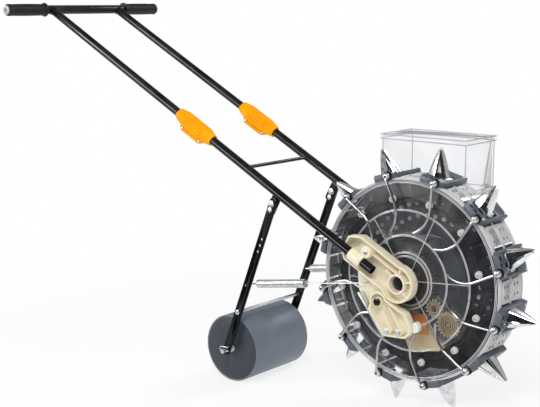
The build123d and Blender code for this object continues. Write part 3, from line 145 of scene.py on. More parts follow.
WHITE = (1, 1, 1, 1)
FLOOR_R = 9.0
SHADOW_FROM, SHADOW_TO = 0.7, 1.9
SHADOW_LEAST = 0.76
floor_mesh = bpy.data.meshes.new("floor")
shape = bmesh.new()
bmesh.ops.create_circle(shape, cap_ends=True, segments=64, radius=FLOOR_R)
shape.to_mesh(floor_mesh)
floor = bpy.data.objects.new("floor", floor_mesh)
scene.collection.objects.link(floor)
floor_white, spot = new_finish("floor_white")
away = spot.node("ShaderNodeVectorMath", {"operation": "LENGTH"}, {0: spot}, out="Value")
fade = SHADOW_LEAST + away.between(SHADOW_FROM, SHADOW_TO) * (1 - SHADOW_LEAST)
paper = spot.node("ShaderNodeBsdfDiffuse", (), {"Color": (0.94, 0.94, 0.945, 1)})
glow = spot.node("ShaderNodeEmission", (), {"Color": WHITE, "Strength": 1.0})
surface(spot.node("ShaderNodeMixShader", (), {0: fade, 1: paper, 2: glow}))
floor_mesh.materials.append(floor_white)

LAMP_SKY, SHINE_SKY = 0.55, 0.5
scene.world = bpy.data.worlds.new("surround")
scene.world.use_nodes = True
scene.world.node_tree.nodes.clear()
ray = Link(scene.world.node_tree)
seen = ray.node("ShaderNodeLightPath", out="Is Camera Ray")
shines = ray.node("ShaderNodeLightPath", out="Is Glossy Ray")
lamp_sky = ray.node("ShaderNodeBackground", (), {"Color": (0.96, 0.98, 1, 1), "Strength": LAMP_SKY})
shine_sky = ray.node("ShaderNodeBackground", (), {"Color": WHITE, "Strength": SHINE_SKY})
white_sky = ray.node("ShaderNodeBackground", (), {"Color": WHITE, "Strength": 1.0})
unseen = ray.node("ShaderNodeMixShader", (), {0: shines, 1: lamp_sky, 2: shine_sky})
sky = ray.node("ShaderNodeMixShader", (), {0: seen, 1: unseen, 2: white_sky})
sky.node("ShaderNodeOutputWorld", (), {"Surface": sky})

SLOPE = radians(32.6)
UP_TUBE = Vector((-cos(SLOPE), 0, sin(SLOPE)))
LAMPS = (
    ("key_lamp", (1.1, -2.1, 2.1), (0.9, 0.9), 46.0),
    ("fill_lamp", (-2.2, -1.6, 1.3), (0.6, 0.6), 16.0),
    ("rim_lamp", (0.6, 2.4, 1.9), (0.9, 0.9), 26.0),
    ("shine_strip", (-1.75, -2.3, 1.1), (2.6, 1.2), 95.0),
)
for name, offset, (length, width), power in LAMPS:
    lamp = bpy.data.objects.new(name, bpy.data.lights.new(name, "AREA"))
    lamp.data.shape = "RECTANGLE"
    lamp.data.size = length
    lamp.data.size_y = width
    lamp.data.energy = power
    lamp.visible_diffuse = name != "shine_strip"
    lamp.location = AXLE + Vector(offset)
    back = Vector(offset).normalized()
    along = (UP_TUBE - back * UP_TUBE.dot(back)).normalized()
    lamp.rotation_mode = "QUATERNION"
    lamp.rotation_quaternion = Matrix((along, back.cross(along), back)).transposed().to_quaternion()
    scene.collection.objects.link(lamp)

black_card, spot = new_finish("black_card")
surface(spot.node("ShaderNodeBsdfDiffuse", (), {"Color": (0.01, 0.01, 0.012, 1)}))
CARDS = (
    ("card_ahead", (2.6, -0.2, 0.5), (1.6, 2.6)),
    ("card_low", (-0.46, -0.70, -0.14), (0.9, 0.26)),
    ("card_front", (0.6, -2.9, 0.9), (5.6, 5.0)),
    ("card_behind", (-3.0, 0.8, 0.9), (1.8, 2.4)),
    ("card_far", (-0.3, 3.0, 0.3), (2.2, 1.4)),
    ("card_over", (-0.9, 0.4, 3.2), (1.3, 2.6)),
)
SQUARE = ((-1, -1), (1, -1), (1, 1), (-1, 1))
for name, offset, (width, height) in CARDS:
    mesh = bpy.data.meshes.new(name)
    face_on = (-Vector(offset)).to_track_quat("-Z", "Y").to_matrix()
    corners = [Vector((x * width / 2, y * height / 2, 0)) for x, y in SQUARE]
    mesh.from_pydata([AXLE + Vector(offset) + face_on @ c for c in corners], [], [(0, 1, 2, 3)])
    mesh.materials.append(black_card)
    card = bpy.data.objects.new(name, mesh)
    scene.collection.objects.link(card)
    card.visible_camera = False
    card.visible_diffuse = False
    card.visible_shadow = False


# Push tubes: two steel tubes a side, 19 mm over a 1.5 mm wall, sloping from the axle bracket to the handle
# and sprayed gloss black. The lower end is cut square inside the bracket's window.
TUBE_FOOT_X = -0.0102
TUBE_Y = 0.106
TUBE_R = 0.0095
TUBE_BORE = 0.008
TUBE_EDGE = 0.0006
LOWER_TUBE = (0.048, 0.594)
UPPER_TUBE = (0.596, 1.144)
ABOVE_TUBE = Vector((sin(SLOPE), 0, cos(SLOPE)))


def on_tube(along, above=0.0, y=-TUBE_Y):
    """A point along and above the centre line of the tube on either side."""
    return AXLE + Vector((TUBE_FOOT_X, y, 0)) + UP_TUBE * along + ABOVE_TUBE * above


def smooth(mesh, angle=32.0):
    """Round shading that stays crisp at edges sharper than the angle."""
    mesh.shade_smooth()
    mesh.set_sharp_from_angle(angle=radians(angle))
    return mesh


def to_mesh(shape, name, angle=32.0):
    """Finish a bmesh: merge its doubles, face it outwards and shade it."""
    bmesh.ops.remove_doubles(shape, verts=shape.verts, dist=1e-6)
    bmesh.ops.recalc_face_normals(shape, faces=shape.faces)
    mesh = bpy.data.meshes.new(name)
    shape.to_mesh(mesh)
    shape.free()
    return smooth(mesh, angle)


def round_steps(count):
    """Angles evenly round a circle."""
    return [2 * pi * k / count for k in range(count)]


def turn(shape, profile, origin, axis, sides=48, closed=False):
    """Add a turned form to a bmesh from distances along an axis and radii; a zero radius closes an end."""
    side = Vector(axis).orthogonal().normalized()
    other = Vector(axis).cross(side)
    rings = []
    for along, radius in profile:
        centre = Vector(origin) + Vector(axis) * along
        steps = round_steps(sides) if radius else [0.0]
        rings.append([shape.verts.new(centre + (side * cos(a) + other * sin(a)) * radius) for a in steps])
    for ring, after in zip(rings, rings[1:] + rings[:1] if closed else rings[1:]):
        for k in range(sides):
            corners = [ring[k - 1], ring[k]] if len(ring) > 1 else [ring[0]]
            corners += [after[k], after[k - 1]] if len(after) > 1 else [after[0]]
            shape.faces.new(corners)


def turned(name, profile, origin, axis, sides=48, closed=False):
    shape = bmesh.new()
    turn(shape, profile, origin, axis, sides, closed)
    return to_mesh(shape, name)


def fit(name, mesh, material, body, slot, *nodes):
    """Put a finished mesh on its body, in place of the nodes that it stands for."""
    made = bpy.data.objects.new(name, mesh)
    scene.collection.objects.link(made)
    mesh.materials.clear()
    mesh.materials.append(material)
    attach(made, body)
    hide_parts(*nodes)
    return made


def noise(place, scale, detail=3.0):
    return place.node("ShaderNodeTexNoise", (), {"Vector": place, "Scale": scale, "Detail": detail})


def bump(height, strength, distance):
    return height.node("ShaderNodeBump", (), {"Height": height, "Strength": strength, "Distance": distance})


def edges(place):
    """Where a surface turns a convex edge, which is where paint and plating rub thin."""
    return place.node("ShaderNodeNewGeometry", out="Pointiness").between(0.52, 0.6)


def principled(place, colour, rough, normal, **more):
    """A Principled shader; its other sockets are named in small letters."""
    sockets = {"Base Color": colour, "Roughness": rough, "Normal": normal}
    for name, value in more.items():
        sockets[name.replace("_", " ").title().replace("Ior", "IOR")] = value
    return place.node("ShaderNodeBsdfPrincipled", (), sockets)


def sprayed(name, colour, worn, rough):
    """Sprayed gloss paint: a faint orange peel, dust in the low spots and rubbed edges."""
    material, place = new_finish(name)
    peel = noise(place, 60.0, 1.0)
    smear = noise(place, 18.0, 4.0)
    rub = edges(place) * smear.between(0.35, 0.65)
    skin = rub.mix(smear.mix((*colour, 1), (*[c * 1.6 + 0.001 for c in colour], 1)), (*worn, 1))
    gloss = rough + smear * 0.05 + rub * 0.2
    surface(principled(place, skin, gloss, bump(peel, 0.01, 0.0004), specular_ior_level=0.22))
    return material


def tube_profile(start, end, radius, bore):
    """Closed wall of a tube with its end edges broken."""
    wall = [(start, radius - TUBE_EDGE), (start + TUBE_EDGE, radius)]
    wall += [(end - TUBE_EDGE, radius), (end, radius - TUBE_EDGE)]
    return wall + [(end, bore), (start, bore)]


gloss_black = sprayed("gloss_black", (0.0022, 0.0022, 0.0025), (0.02, 0.02, 0.022), 0.05)
for side, y in (("near", -TUBE_Y), ("far", TUBE_Y)):
    for part, (start, end) in (("lower", LOWER_TUBE), ("upper", UPPER_TUBE)):
        wall = tube_profile(start, end, TUBE_R, TUBE_BORE)
        mesh = turned("tube", wall, on_tube(0, 0, y), UP_TUBE, closed=True)
        fit(f"{side}_{part}_push_tube", mesh, gloss_black, "frame", "black_tube", f"{side}_{part}_tube")

# Handle: a straight 22 mm crossbar welded across the tube ends, with a bead of weld round each joint,
# and a pushed-in plastic plug in each end.
BAR_R = 0.011
BAR_BORE = 0.0095
BAR_HALF = 0.241
HANDLE_AT = 1.151
HANDLE = on_tube(HANDLE_AT, 0, 0)
ACROSS = Vector((0, 1, 0))
WELD_R = 0.0016
WELD_STEPS = 40
WELD_RIPPLES = 13
WELD_RIPPLE = 0.1
PLUG = 0.003
PLUG_WALL = 0.0006
PLUG_HOLE_R = 0.004


def bridge(shape, rows, closed=False, capped=False):
    """Add the faces between rows of points to a bmesh, and one over each end where it is capped."""
    if capped:
        shape.faces.new(rows[0])
        shape.faces.new(rows[-1])
    for row, after in zip(rows, rows[1:] + rows[:1] if closed else rows[1:]):
        for n in range(len(row)):
            shape.faces.new((row[n - 1], row[n], after[n], after[n - 1]))


def sweep(shape, points, radius, sides, closed=False):
    """Add a round wire along points to a bmesh, keeping its section from twisting."""
    count = len(points)
    rings = []
    side = None
    for k, point in enumerate(points):
        before = points[k - 1] if k or closed else point
        after = points[(k + 1) % count] if k < count - 1 or closed else point
        way = (after - before).normalized()
        side = way.orthogonal() if side is None else side - way * side.dot(way)
        side.normalize()
        other = way.cross(side)
        rim = [(side * cos(a) + other * sin(a)) * radius for a in round_steps(sides)]
        rings.append([shape.verts.new(point + arm) for arm in rim])
    bridge(shape, rings, closed, capped=not closed)


fit(
    "crossbar",
    turned("bar", tube_profile(-BAR_HALF, BAR_HALF, BAR_R, BAR_BORE), HANDLE, ACROSS, closed=True),
    gloss_black, "frame", "black_tube", "handle_crossbar",
)
shape = bmesh.new()
for y in (-TUBE_Y, TUBE_Y):
    saddle = []
    for a in round_steps(WELD_STEPS):
        back = sqrt(BAR_R**2 - (TUBE_R * sin(a)) ** 2)
        ripple = 1 + WELD_RIPPLE * sin(WELD_RIPPLES * a)
        rim = ACROSS * cos(a) + ABOVE_TUBE * sin(a)
        saddle.append(on_tube(HANDLE_AT - back * ripple, 0, y) + rim * TUBE_R)
    sweep(shape, saddle, WELD_R, 8, closed=True)
fit("handle_welds", to_mesh(shape, "welds"), gloss_black, "frame", "black_tube")


def grained(place, depth):
    """The fine spark-eroded grain of a mould."""
    return bump(noise(place, 700.0, 2.0), depth, 0.0003)


def moulded(name, colour, deep, rough, depth=0.06, wear=0.35, shine=0.4):
    """Moulded plastic: flow marks in the colour, the mould's grain and paler, rubbed edges."""
    material, place = new_finish(name)
    flow = noise(place, 26.0, 5.0)
    skin = flow.between(0.3, 0.7).mix((*deep, 1), (*colour, 1))
    rub = edges(place) * wear
    pale = tuple(min(1.0, c * 1.25 + 0.03) for c in colour)
    gloss = rough + flow * 0.14 - rub * 0.1
    skin = rub.mix(skin, (*pale, 1))
    surface(principled(place, skin, gloss, grained(place, depth), specular_ior_level=shine))
    return material


plug_grey = moulded("plug_grey", (0.34, 0.34, 0.35), (0.26, 0.26, 0.27), 0.3)
shape = bmesh.new()
for y in (-1, 1):
    cap = [(0, 0), (0, BAR_R - 0.001), (0.0004, BAR_R), (PLUG - 0.0012, BAR_R)]
    cap += [(PLUG - 0.0003, BAR_R - 0.001), (PLUG, BAR_R - 0.0022), (PLUG, PLUG_HOLE_R)]
    cap += [(PLUG_WALL, PLUG_HOLE_R), (PLUG_WALL, 0)]
    turn(shape, cap, HANDLE + ACROSS * (y * BAR_HALF), ACROSS * y)
fit("end_plugs", to_mesh(shape, "plugs"), plug_grey, "frame", "black_plug", "handle_plugs")

# Hand grips: soft black rubber sleeves pushed on over the crossbar, with a flange that stops the hand,
# fine rings round the hold and a thicker rolled outer end.
GRIP_R = 0.0145
GRIP_LENGTH = 0.114
GRIP_FLANGE = (0.005, 0.0168)
GRIP_EDGE = 0.0015
GRIP_PLAIN = 0.012
GRIP_RINGS = 22
GRIP_GROOVE = 0.0003
GRIP_SWELL = 0.0005


def grip_profile():
    """Closed wall of a grip, from its flange to its rolled end."""
    start = BAR_HALF - GRIP_LENGTH
    flange, flange_r = GRIP_FLANGE
    line = [(start, BAR_R), (start, flange_r - GRIP_EDGE), (start + GRIP_EDGE, flange_r)]
    line += [(start + flange - GRIP_EDGE, flange_r), (start + flange, flange_r - GRIP_EDGE)]
    line += [(start + flange + 0.001, GRIP_R + 0.0003)]
    first, last = start + GRIP_PLAIN, BAR_HALF - GRIP_PLAIN
    pitch = (last - first) / GRIP_RINGS
    for k in range(GRIP_RINGS):
        along = first + pitch * k
        for share, deep in ((0.0, 0), (0.45, 0), (0.6, 1), (0.85, 1)):
            swell = GRIP_SWELL * sin(pi * (k + share) / GRIP_RINGS)
            line.append((along + pitch * share, GRIP_R - GRIP_GROOVE * deep - GRIP_SWELL + swell))
    line += [(last, GRIP_R - GRIP_SWELL), (BAR_HALF - 0.004, GRIP_R)]
    line += [(BAR_HALF - GRIP_EDGE, GRIP_R - 0.0008), (BAR_HALF, GRIP_R - 0.0025), (BAR_HALF, BAR_R)]
    return line


grip_rubber, spot = new_finish("grip_rubber")
bloom = noise(spot, 40.0, 4.0)
tooth = noise(spot, 1500.0, 2.0)
rubber = bloom.between(0.35, 0.7).mix((0.005, 0.005, 0.005, 1), (0.012, 0.012, 0.0125, 1))
surface(principled(spot, rubber, 0.42 + bloom * 0.2, bump(tooth, 0.08, 0.0003), specular_ior_level=0.3))
shape = bmesh.new()
for y in (-1, 1):
    turn(shape, grip_profile(), HANDLE, ACROSS * y, 56, closed=True)
fit("hand_grips", to_mesh(shape, "grips"), grip_rubber, "frame", "grip_rubber", "handle_grips")

# Brace: one 8 mm steel rod that holds the two tubes apart, welded between them with a fillet at each end
# and sprayed with them.
BRACE_AT = 0.428
BRACE_R = 0.004
BRACE_SUNK = 0.001
reach = TUBE_Y - TUBE_R + BRACE_SUNK
shape = bmesh.new()
rod = [(-reach, 0), (-reach, BRACE_R), (reach, BRACE_R), (reach, 0)]
turn(shape, rod, on_tube(BRACE_AT, 0, 0), ACROSS, 24)
for y in (-1, 1):
    collar = [(0, BRACE_R), (-0.0032, BRACE_R), (-0.0018, BRACE_R + 0.0014), (0, BRACE_R + 0.002)]
    turn(shape, collar, on_tube(BRACE_AT, 0, 0) + ACROSS * (y * reach), ACROSS * y, 24, closed=True)
fit("tube_brace", to_mesh(shape, "brace"), gloss_black, "frame", "black_tube", "brace_rod")

# Splice connectors: orange moulded clamshells over each tube joint, ribbed along their length and drawn
# together by two screws through a lower fin.
SPLICE_AT = 0.595
CONNECTOR_FACE = 0.0165
CONNECTOR_RIBS = (-0.0075, 0.0, 0.0075)
CONNECTOR_RIB_HALF = 0.03
CONNECTOR_RIB_R = 0.0024
CONNECTOR_SCREWS = (-0.026, 0.031)
CONNECTOR_SCREW_DROP = 0.021
FIN_HALF = 0.006
SCREW_HEAD = (0.0034, 0.0022)


def in_scene(name, mesh):
    made = bpy.data.objects.new(name, mesh)
    scene.collection.objects.link(made)
    return made


def baked(maker):
    """The plain mesh of an object and its modifiers. The object itself goes away."""
    bpy.context.view_layer.update()
    made = bpy.data.meshes.new_from_object(maker.evaluated_get(bpy.context.evaluated_depsgraph_get()))
    bpy.data.objects.remove(maker)
    return made


def softened(node, width, segments=2):
    """A copy of a CAD node with its sharp edges rounded."""
    shape = bmesh.new()
    shape.from_mesh(frame["nodes"][node].data)
    bmesh.ops.remove_doubles(shape, verts=shape.verts, dist=2e-6)
    bmesh.ops.dissolve_limit(shape, angle_limit=radians(0.5), verts=shape.verts, edges=shape.edges)
    mesh = bpy.data.meshes.new(node)
    shape.to_mesh(mesh)
    shape.free()
    rough = in_scene(node + "_rough", mesh)
    rounding = rough.modifiers.new("edge_rounding", "BEVEL")
    rounding.width = width
    rounding.segments = segments
    rounding.limit_method = "ANGLE"
    rounding.angle_limit = radians(30)
    return smooth(baked(rough), 40.0)


def dress(name, node, width, material, body, slot, segments=2):
    """Fit a softened copy of a CAD node in its place."""
    fit(name, softened(node, width, segments), material, body, slot, node)


def new_tree(name, inputs):
    """An empty Geometry Nodes tree with named inputs and one output."""
    tree = bpy.data.node_groups.new(name, "GeometryNodeTree")
    for label, kind in inputs.items():
        tree.interface.new_socket(label, in_out="INPUT", socket_type="NodeSocket" + kind)
    tree.interface.new_socket("Made", in_out="OUTPUT", socket_type="NodeSocketGeometry")
    return tree


def tree_input(tree, label):
    return Link(tree).node("NodeGroupInput", out=label)


def close_tree(tree, made):
    """Turn a tree's instances into plain faces with its finish on them."""
    whole = made.node("GeometryNodeRealizeInstances", (), {"Geometry": made})
    finish = tree_input(tree, "Finish")
    done = whole.node("GeometryNodeSetMaterial", (), {"Geometry": whole, "Material": finish})
    done.node("NodeGroupOutput", (), {"Made": done})


def grown(tree, mesh, **values):
    """The plain mesh that a tree makes out of another mesh, with its inputs set by name."""
    maker = in_scene(tree.name, mesh)
    modifier = maker.modifiers.new(tree.name, "NODES")
    modifier.node_group = tree
    for item in tree.interface.items_tree:
        if item.name in values:
            modifier[item.identifier] = values[item.name]
    return smooth(baked(maker), 40.0)


screw_tree = new_tree("screws_on_points", {"Points": "Geometry", "Screw": "Object", "Finish": "Material"})
settings = {"data_type": "FLOAT_VECTOR"}
way = Link(screw_tree).node("GeometryNodeInputNamedAttribute", settings, {"Name": "way"})
faced = way.node("FunctionNodeAlignRotationToVector", {"axis": "Z"}, {"Vector": way})
screw = way.node("GeometryNodeObjectInfo", (), {"Object": tree_input(screw_tree, "Screw")}, out="Geometry")
sockets = {"Points": tree_input(screw_tree, "Points"), "Instance": screw, "Rotation": faced}
close_tree(screw_tree, way.node("GeometryNodeInstanceOnPoints", (), sockets))


def set_screws(name, head, places, material, body, slot):
    """Fit one screw head at each place, given as a point and the way that the head faces."""
    points = bpy.data.meshes.new(name)
    points.from_pydata([point for point, _ in places], [], [])
    ways = points.attributes.new("way", "FLOAT_VECTOR", "POINT")
    for item, (_, faces) in zip(ways.data, places):
        item.vector = faces
    pattern = in_scene("screw_pattern", head)
    mesh = grown(screw_tree, points, Screw=pattern, Finish=material)
    bpy.data.objects.remove(pattern)
    fit(name, mesh, material, body, slot)


def pan_head(radius, height):
    """Screw head with a domed edge and a round socket, standing on the origin along Z."""
    line = [(0, 0), (0, radius), (height * 0.4, radius), (height * 0.8, radius * 0.86)]
    line += [(height, radius * 0.6), (height, radius * 0.38)]
    line += [(height * 0.35, radius * 0.34), (height * 0.35, 0)]
    return turned("pan_head", line, (0, 0, 0), Vector((0, 0, 1)), 24)


def plated(name, colour, rough, streak=1.0):
    """Bright plated steel: faint rolling marks and cloudy spots."""
    material, place = new_finish(name)
    cloud = noise(place, 60.0, 4.0)
    lines = place.node("ShaderNodeMapping", (), {"Vector": place, "Scale": (1.0, 14.0, 1.0)})
    marks = noise(lines, 420.0, 2.0)
    dull = tuple(c * 0.72 for c in colour)
    skin = cloud.between(0.3, 0.75).mix((*dull, 1), (*colour, 1))
    gloss = rough + cloud * 0.1 + marks * (0.06 * streak)
    surface(principled(place, skin, gloss, bump(marks, 0.05 * streak, 0.0002), metallic=1.0))
    return material


orange = moulded("orange_plastic", (1.0, 0.42, 0), (0.95, 0.33, 0), 0.3, depth=0.01, wear=0.1, shine=0.05)
zinc = plated("zinc_plate", (0.72, 0.75, 0.78), 0.24)
for part in ("outer", "inner"):
    node = f"connector_{part}s"
    dress(f"connector_{part}_halves", node, 0.0018, orange, "frame", "orange_plastic", 3)
shape = bmesh.new()
places = []
for side in (-1, 1):
    for above in CONNECTOR_RIBS:
        ends = [SPLICE_AT - CONNECTOR_RIB_HALF, SPLICE_AT + CONNECTOR_RIB_HALF]
        for face in (TUBE_Y - CONNECTOR_FACE, TUBE_Y + CONNECTOR_FACE):
            sweep(shape, [on_tube(along, above, side * face) for along in ends], CONNECTOR_RIB_R, 10)
    for along in CONNECTOR_SCREWS:
        for out in (-1, 1):
            place = on_tube(SPLICE_AT + along, -CONNECTOR_SCREW_DROP, side * TUBE_Y + out * FIN_HALF)
            places.append((place, ACROSS * out))
fit("connector_ribs", to_mesh(shape, "connector_ribs"), orange, "frame", "orange_plastic")
set_screws("connector_screws", pan_head(*SCREW_HEAD), places, zinc, "frame", "zinc")

# Axle brackets: ivory mouldings that clamp the tubes and carry the axle, hollowed from outside to an even
# wall, with a pinch bolt through the tube collar.
ivory = moulded("ivory_plastic", (0.80, 0.735, 0.57), (0.745, 0.66, 0.475), 0.36, wear=0.5)
for side in ("near", "far"):
    dress(f"{side}_axle_bracket", f"{side}_bracket", 0.0009, ivory, "frame", "ivory_plastic")

# Opening cam: an ivory moulding on the near bracket that holds the beaks open while they are in the soil,
# with a steel strip along its leading edge, a white nylon pad at its toe and a black pivot bolt.
CAM_PIVOT = AXLE + Vector((-0.045, -0.1, -0.038))
CAM_BOLT_REACH = 0.01


def islands(mesh, keep):
    """Only those loose pieces of a mesh whose middle passes a test."""
    shape = bmesh.new()
    shape.from_mesh(mesh)
    left = set(shape.verts)
    while left:
        island = set()
        edge = [left.pop()]
        while edge:
            corner = edge.pop()
            island.add(corner)
            near = {e.other_vert(corner) for e in corner.link_edges} & left
            left -= near
            edge += near
        if not keep(sum((v.co for v in island), Vector()) / len(island)):
            bmesh.ops.delete(shape, geom=list(island))
    made = bpy.data.meshes.new(mesh.name)
    shape.to_mesh(made)
    shape.free()
    return smooth(made)


def by_cam(middle):
    return (middle - CAM_PIVOT).xz.length < CAM_BOLT_REACH


nylon = moulded("white_nylon", (0.80, 0.80, 0.77), (0.70, 0.70, 0.66), 0.45, wear=0.2)
dress("cam_body", "opening_cam", 0.0009, ivory, "frame", "ivory_plastic")
dress("cam_wear_strip", "wear_strip", 0.0004, zinc, "frame", "zinc")
dress("cam_toe_pad", "cam_pad", 0.002, nylon, "frame", "white_plastic", 3)
bolts = softened("bracket_bolts", 0.0004)
bright = islands(bolts, lambda middle: not by_cam(middle))
fit("bracket_bolts_bright", bright, zinc, "frame", "zinc", "bracket_bolts")
fit("cam_pivot_bolt", islands(bolts, by_cam), gloss_black, "frame", "zinc")

# Axle: a hollow steel tube held inside both brackets, which the drum turns on, with a steel spacer sleeve
# each side of the drum.
bare_steel = plated("bare_steel", (0.56, 0.56, 0.57), 0.3)
dress("hollow_axle", "axle_tube", 0.0006, bare_steel, "frame", "axle_steel")
dress("spacer_sleeves", "axle_spacers", 0.0006, bare_steel, "frame", "axle_steel")

# Side plate: a moulded slate-grey disc that stays still on the axle, closes the drum on the hopper side and
# takes the hopper's spout.
slate = moulded("slate_plastic", (0.060, 0.069, 0.088), (0.050, 0.058, 0.074), 0.34, depth=0.03)
dress("fixed_side_plate", "side_plate", 0.0008, slate, "frame", "grey_plastic")

# Seed chute and housing: a dark chute round the axle that fills a tan metering bowl below it, all moulded,
# both closed by one cover, with an orange outlet gate. The bowl's tan is painted near black towards its
# front and top, a painted shade.
BOWL_PAINTED_SHADE = (-0.05, -0.022)
dark_plastic = moulded(
    "dark_plastic", (0.017, 0.017, 0.019), (0.014, 0.014, 0.016), 0.34, depth=0.005, shine=0.12,
)
tan, spot = new_finish("tan_plastic")
ahead = spot.node("ShaderNodeSeparateXYZ", (), {"Vector": spot}, out="X") - AXLE.x
above = spot.node("ShaderNodeSeparateXYZ", (), {"Vector": spot}, out="Z") - AXLE.z
flow = noise(spot, 26.0, 5.0)
bowl_tan = flow.between(0.3, 0.7).mix((0.93, 0.68, 0.32, 1), (1.0, 0.83, 0.48, 1))
# Painted shade: the bowl's tan turns near black towards its front and top.
skin = (ahead + above * 0.8 + flow * 0.01).between(*BOWL_PAINTED_SHADE).mix(bowl_tan, (0.035, 0.026, 0.02, 1))
surface(principled(spot, skin, 0.3 + flow * 0.1, grained(spot, 0.06)))
gate_orange = moulded("gate_orange", (0.95, 0.32, 0.02), (0.85, 0.24, 0.01), 0.3)
dress("chute_body", "seed_chute", 0.0008, dark_plastic, "frame", "dark_plastic")
dress("metering_bowl", "seed_housing", 0.0008, tan, "frame", "tan_plastic")
dress("metering_cover", "housing_cover", 0.0006, dark_plastic, "frame", "dark_plastic")
dress("outlet_gate", "seed_gate", 0.0008, gate_orange, "frame", "gate_plastic")

# Gear train: moulded gears from the drum to the seed wheel, the drum's own one nearly black. The two small
# ones have teeth painted paler than their webs, a painted highlight, and raised rings on their faces.
GEAR_RING_R = 0.0011
GEAR_RING_STEPS = 40
GEAR_ROOT = (0.70, 0.80)


def from_axis(place, middle):
    """Distance from the line across the machine through a point."""
    arm = place.node("ShaderNodeVectorMath", {"operation": "SUBTRACT"}, {0: place, 1: middle})
    flat = place.node("ShaderNodeVectorMath", {"operation": "MULTIPLY"}, {0: arm, 1: (1, 0, 1)})
    return place.node("ShaderNodeVectorMath", {"operation": "LENGTH"}, {0: flat}, out="Value")


def toothed(name, middle, reach):
    """Moulded gear: a dark web, and teeth painted paler, a painted highlight."""
    material, place = new_finish(name)
    flow = noise(place, 90.0, 4.0)
    teeth = from_axis(place, middle).between(*[reach * share for share in GEAR_ROOT])
    web = flow.mix((0.030, 0.019, 0.011, 1), (0.11, 0.066, 0.03, 1))
    # Painted highlight: the teeth are painted paler than the web.
    skin = teeth.mix(web, (0.66, 0.52, 0.28, 1))
    surface(principled(place, skin, 0.24 + flow * 0.1, bump(flow, 0.04, 0.0003)))
    return material


amber = moulded("amber_plastic", (0.46, 0.31, 0.14), (0.34, 0.22, 0.09), 0.26)
brass = moulded("brass_plastic", (0.64, 0.45, 0.20), (0.48, 0.31, 0.12), 0.24)
umber = moulded("umber_plastic", (0.10, 0.06, 0.03), (0.06, 0.036, 0.02), 0.3)
dress("drum_gear", "sun_gear", 0.0003, umber, "drum", "amber_gear", 1)
for name, node, body, rings in (
    ("idler_pinion", "idler_gear", "idler", (0.0085, 0.013)),
    ("seed_wheel_gear", "metering_gear", "seed_metering", (0.009, 0.0135, 0.018)),
):
    low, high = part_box(node)
    middle = (Vector(low) + Vector(high)) / 2
    middle.y = low[1]
    gear_plastic = toothed(node + "_plastic", middle, (high[0] - low[0]) / 2)
    dress(name, node, 0.0003, gear_plastic, body, "amber_gear", 1)
    shape = bmesh.new()
    for ring in rings:
        loop = [middle + Vector((cos(a), 0, sin(a))) * ring for a in round_steps(GEAR_RING_STEPS)]
        sweep(shape, loop, GEAR_RING_R, 8, closed=True)
    fit(name + "_rings", to_mesh(shape, "gear_rings"), brass, body, "amber_gear")
dress("fluted_seed_wheel", "seed_wheel", 0.0004, amber, "seed_metering", "amber_gear", 1)

# Drum: two clear shells moulded with rings, spokes, screw bosses and a ribbed rim, screwed together over a
# dark chamber ring. The ribs and window frames are painted whiter and more solid than the thin walls
# between them, a painted highlight.
BEAKS = 12
PITCH = 2 * pi / BEAKS
PIVOT = joint_at["beak_open_01"] - AXLE
PIVOT_R = PIVOT.xz.length
PIVOT_ANGLE = atan2(PIVOT.x, PIVOT.z)
PIVOT_LEAD = 0.010
BASE_ANGLE = PIVOT_ANGLE - asin(PIVOT_LEAD / PIVOT_R)
RIM_R = 0.206
DRUM_NEAR = -0.060
DRUM_FAR = 0.030
DISC_R = 0.143
RINGS = (0.050, 0.057, 0.092, DISC_R)
RING_PROUD = 0.0615
RING_WIRES = ((-0.0014, 0.0006), (0.0010, 0.0009))
RIM_LIPS = ((0.1975, 0.0009), (0.2005, 0.0008), (0.2045, 0.0014))
FAR_LIPS = ((0.0900, 0.0010), (DISC_R, 0.0010), (0.1830, 0.0008))
SPOKES = 6
SPOKE_TURN = radians(30)
SPOKE_FROM = 0.026
SPOKE_PROUD = 0.0618
SPOKE_R = 0.0008
BOSS_AT = 0.166
BOSS_R = 0.0066
BOSS_HIGH, BOSS_FLOOR = 0.0063, 0.0035
SCREW_SEAT = 0.0036
SHELL_SCREW = (0.0028, 0.0018)
NUT_HIGH = 0.0026
RIM_EDGES = (-0.0585, -0.0550, -0.0515, -0.0165, -0.0135, 0.0225, 0.0255, 0.0285)
RIM_EDGE_R = 0.0013
WINDOW_FROM, WINDOW_TO = radians(8.2), radians(19.8)
WINDOW_STEPS = 8
WINDOWS = ((-0.0485, -0.0185), (-0.0115, 0.0200))
WINDOW_PLATE = 0.0012
WINDOW_R = RIM_R + WINDOW_PLATE
WINDOW_FRAME = 0.0014
WINDOW_BARS = (0.28, 0.5, 0.72)
SLOT_R = 0.0007
SLOTS_ACROSS, SLOTS_ALONG = (0.22, 0.62), (0.2, 0.66)
SLOT_SHARE = 0.12
PANE_SHARE = (0.1, 0.9)
PANE_INSET = (0.008, 0.004)
PANE_HALF = 0.0003
WEB_NEAR, WEB_FAR = 0.0237, 0.0269
WEB_BORE, WEB_R = 0.150, 0.2013
CUP_RINGS = ((0.120, 36), (0.147, 44))
CUP_R = 0.0048
CUP_HIGH, CUP_FLOOR = 0.004, 0.001


def at_wheel(angle, radius, y, lead=0.0):
    """A point of the wheel, at an angle forward of straight up, out along that radius and ahead of it."""
    out = Vector((sin(angle), 0, cos(angle)))
    ahead = Vector((cos(angle), 0, -sin(angle)))
    return AXLE + out * radius + ahead * lead + ACROSS * y


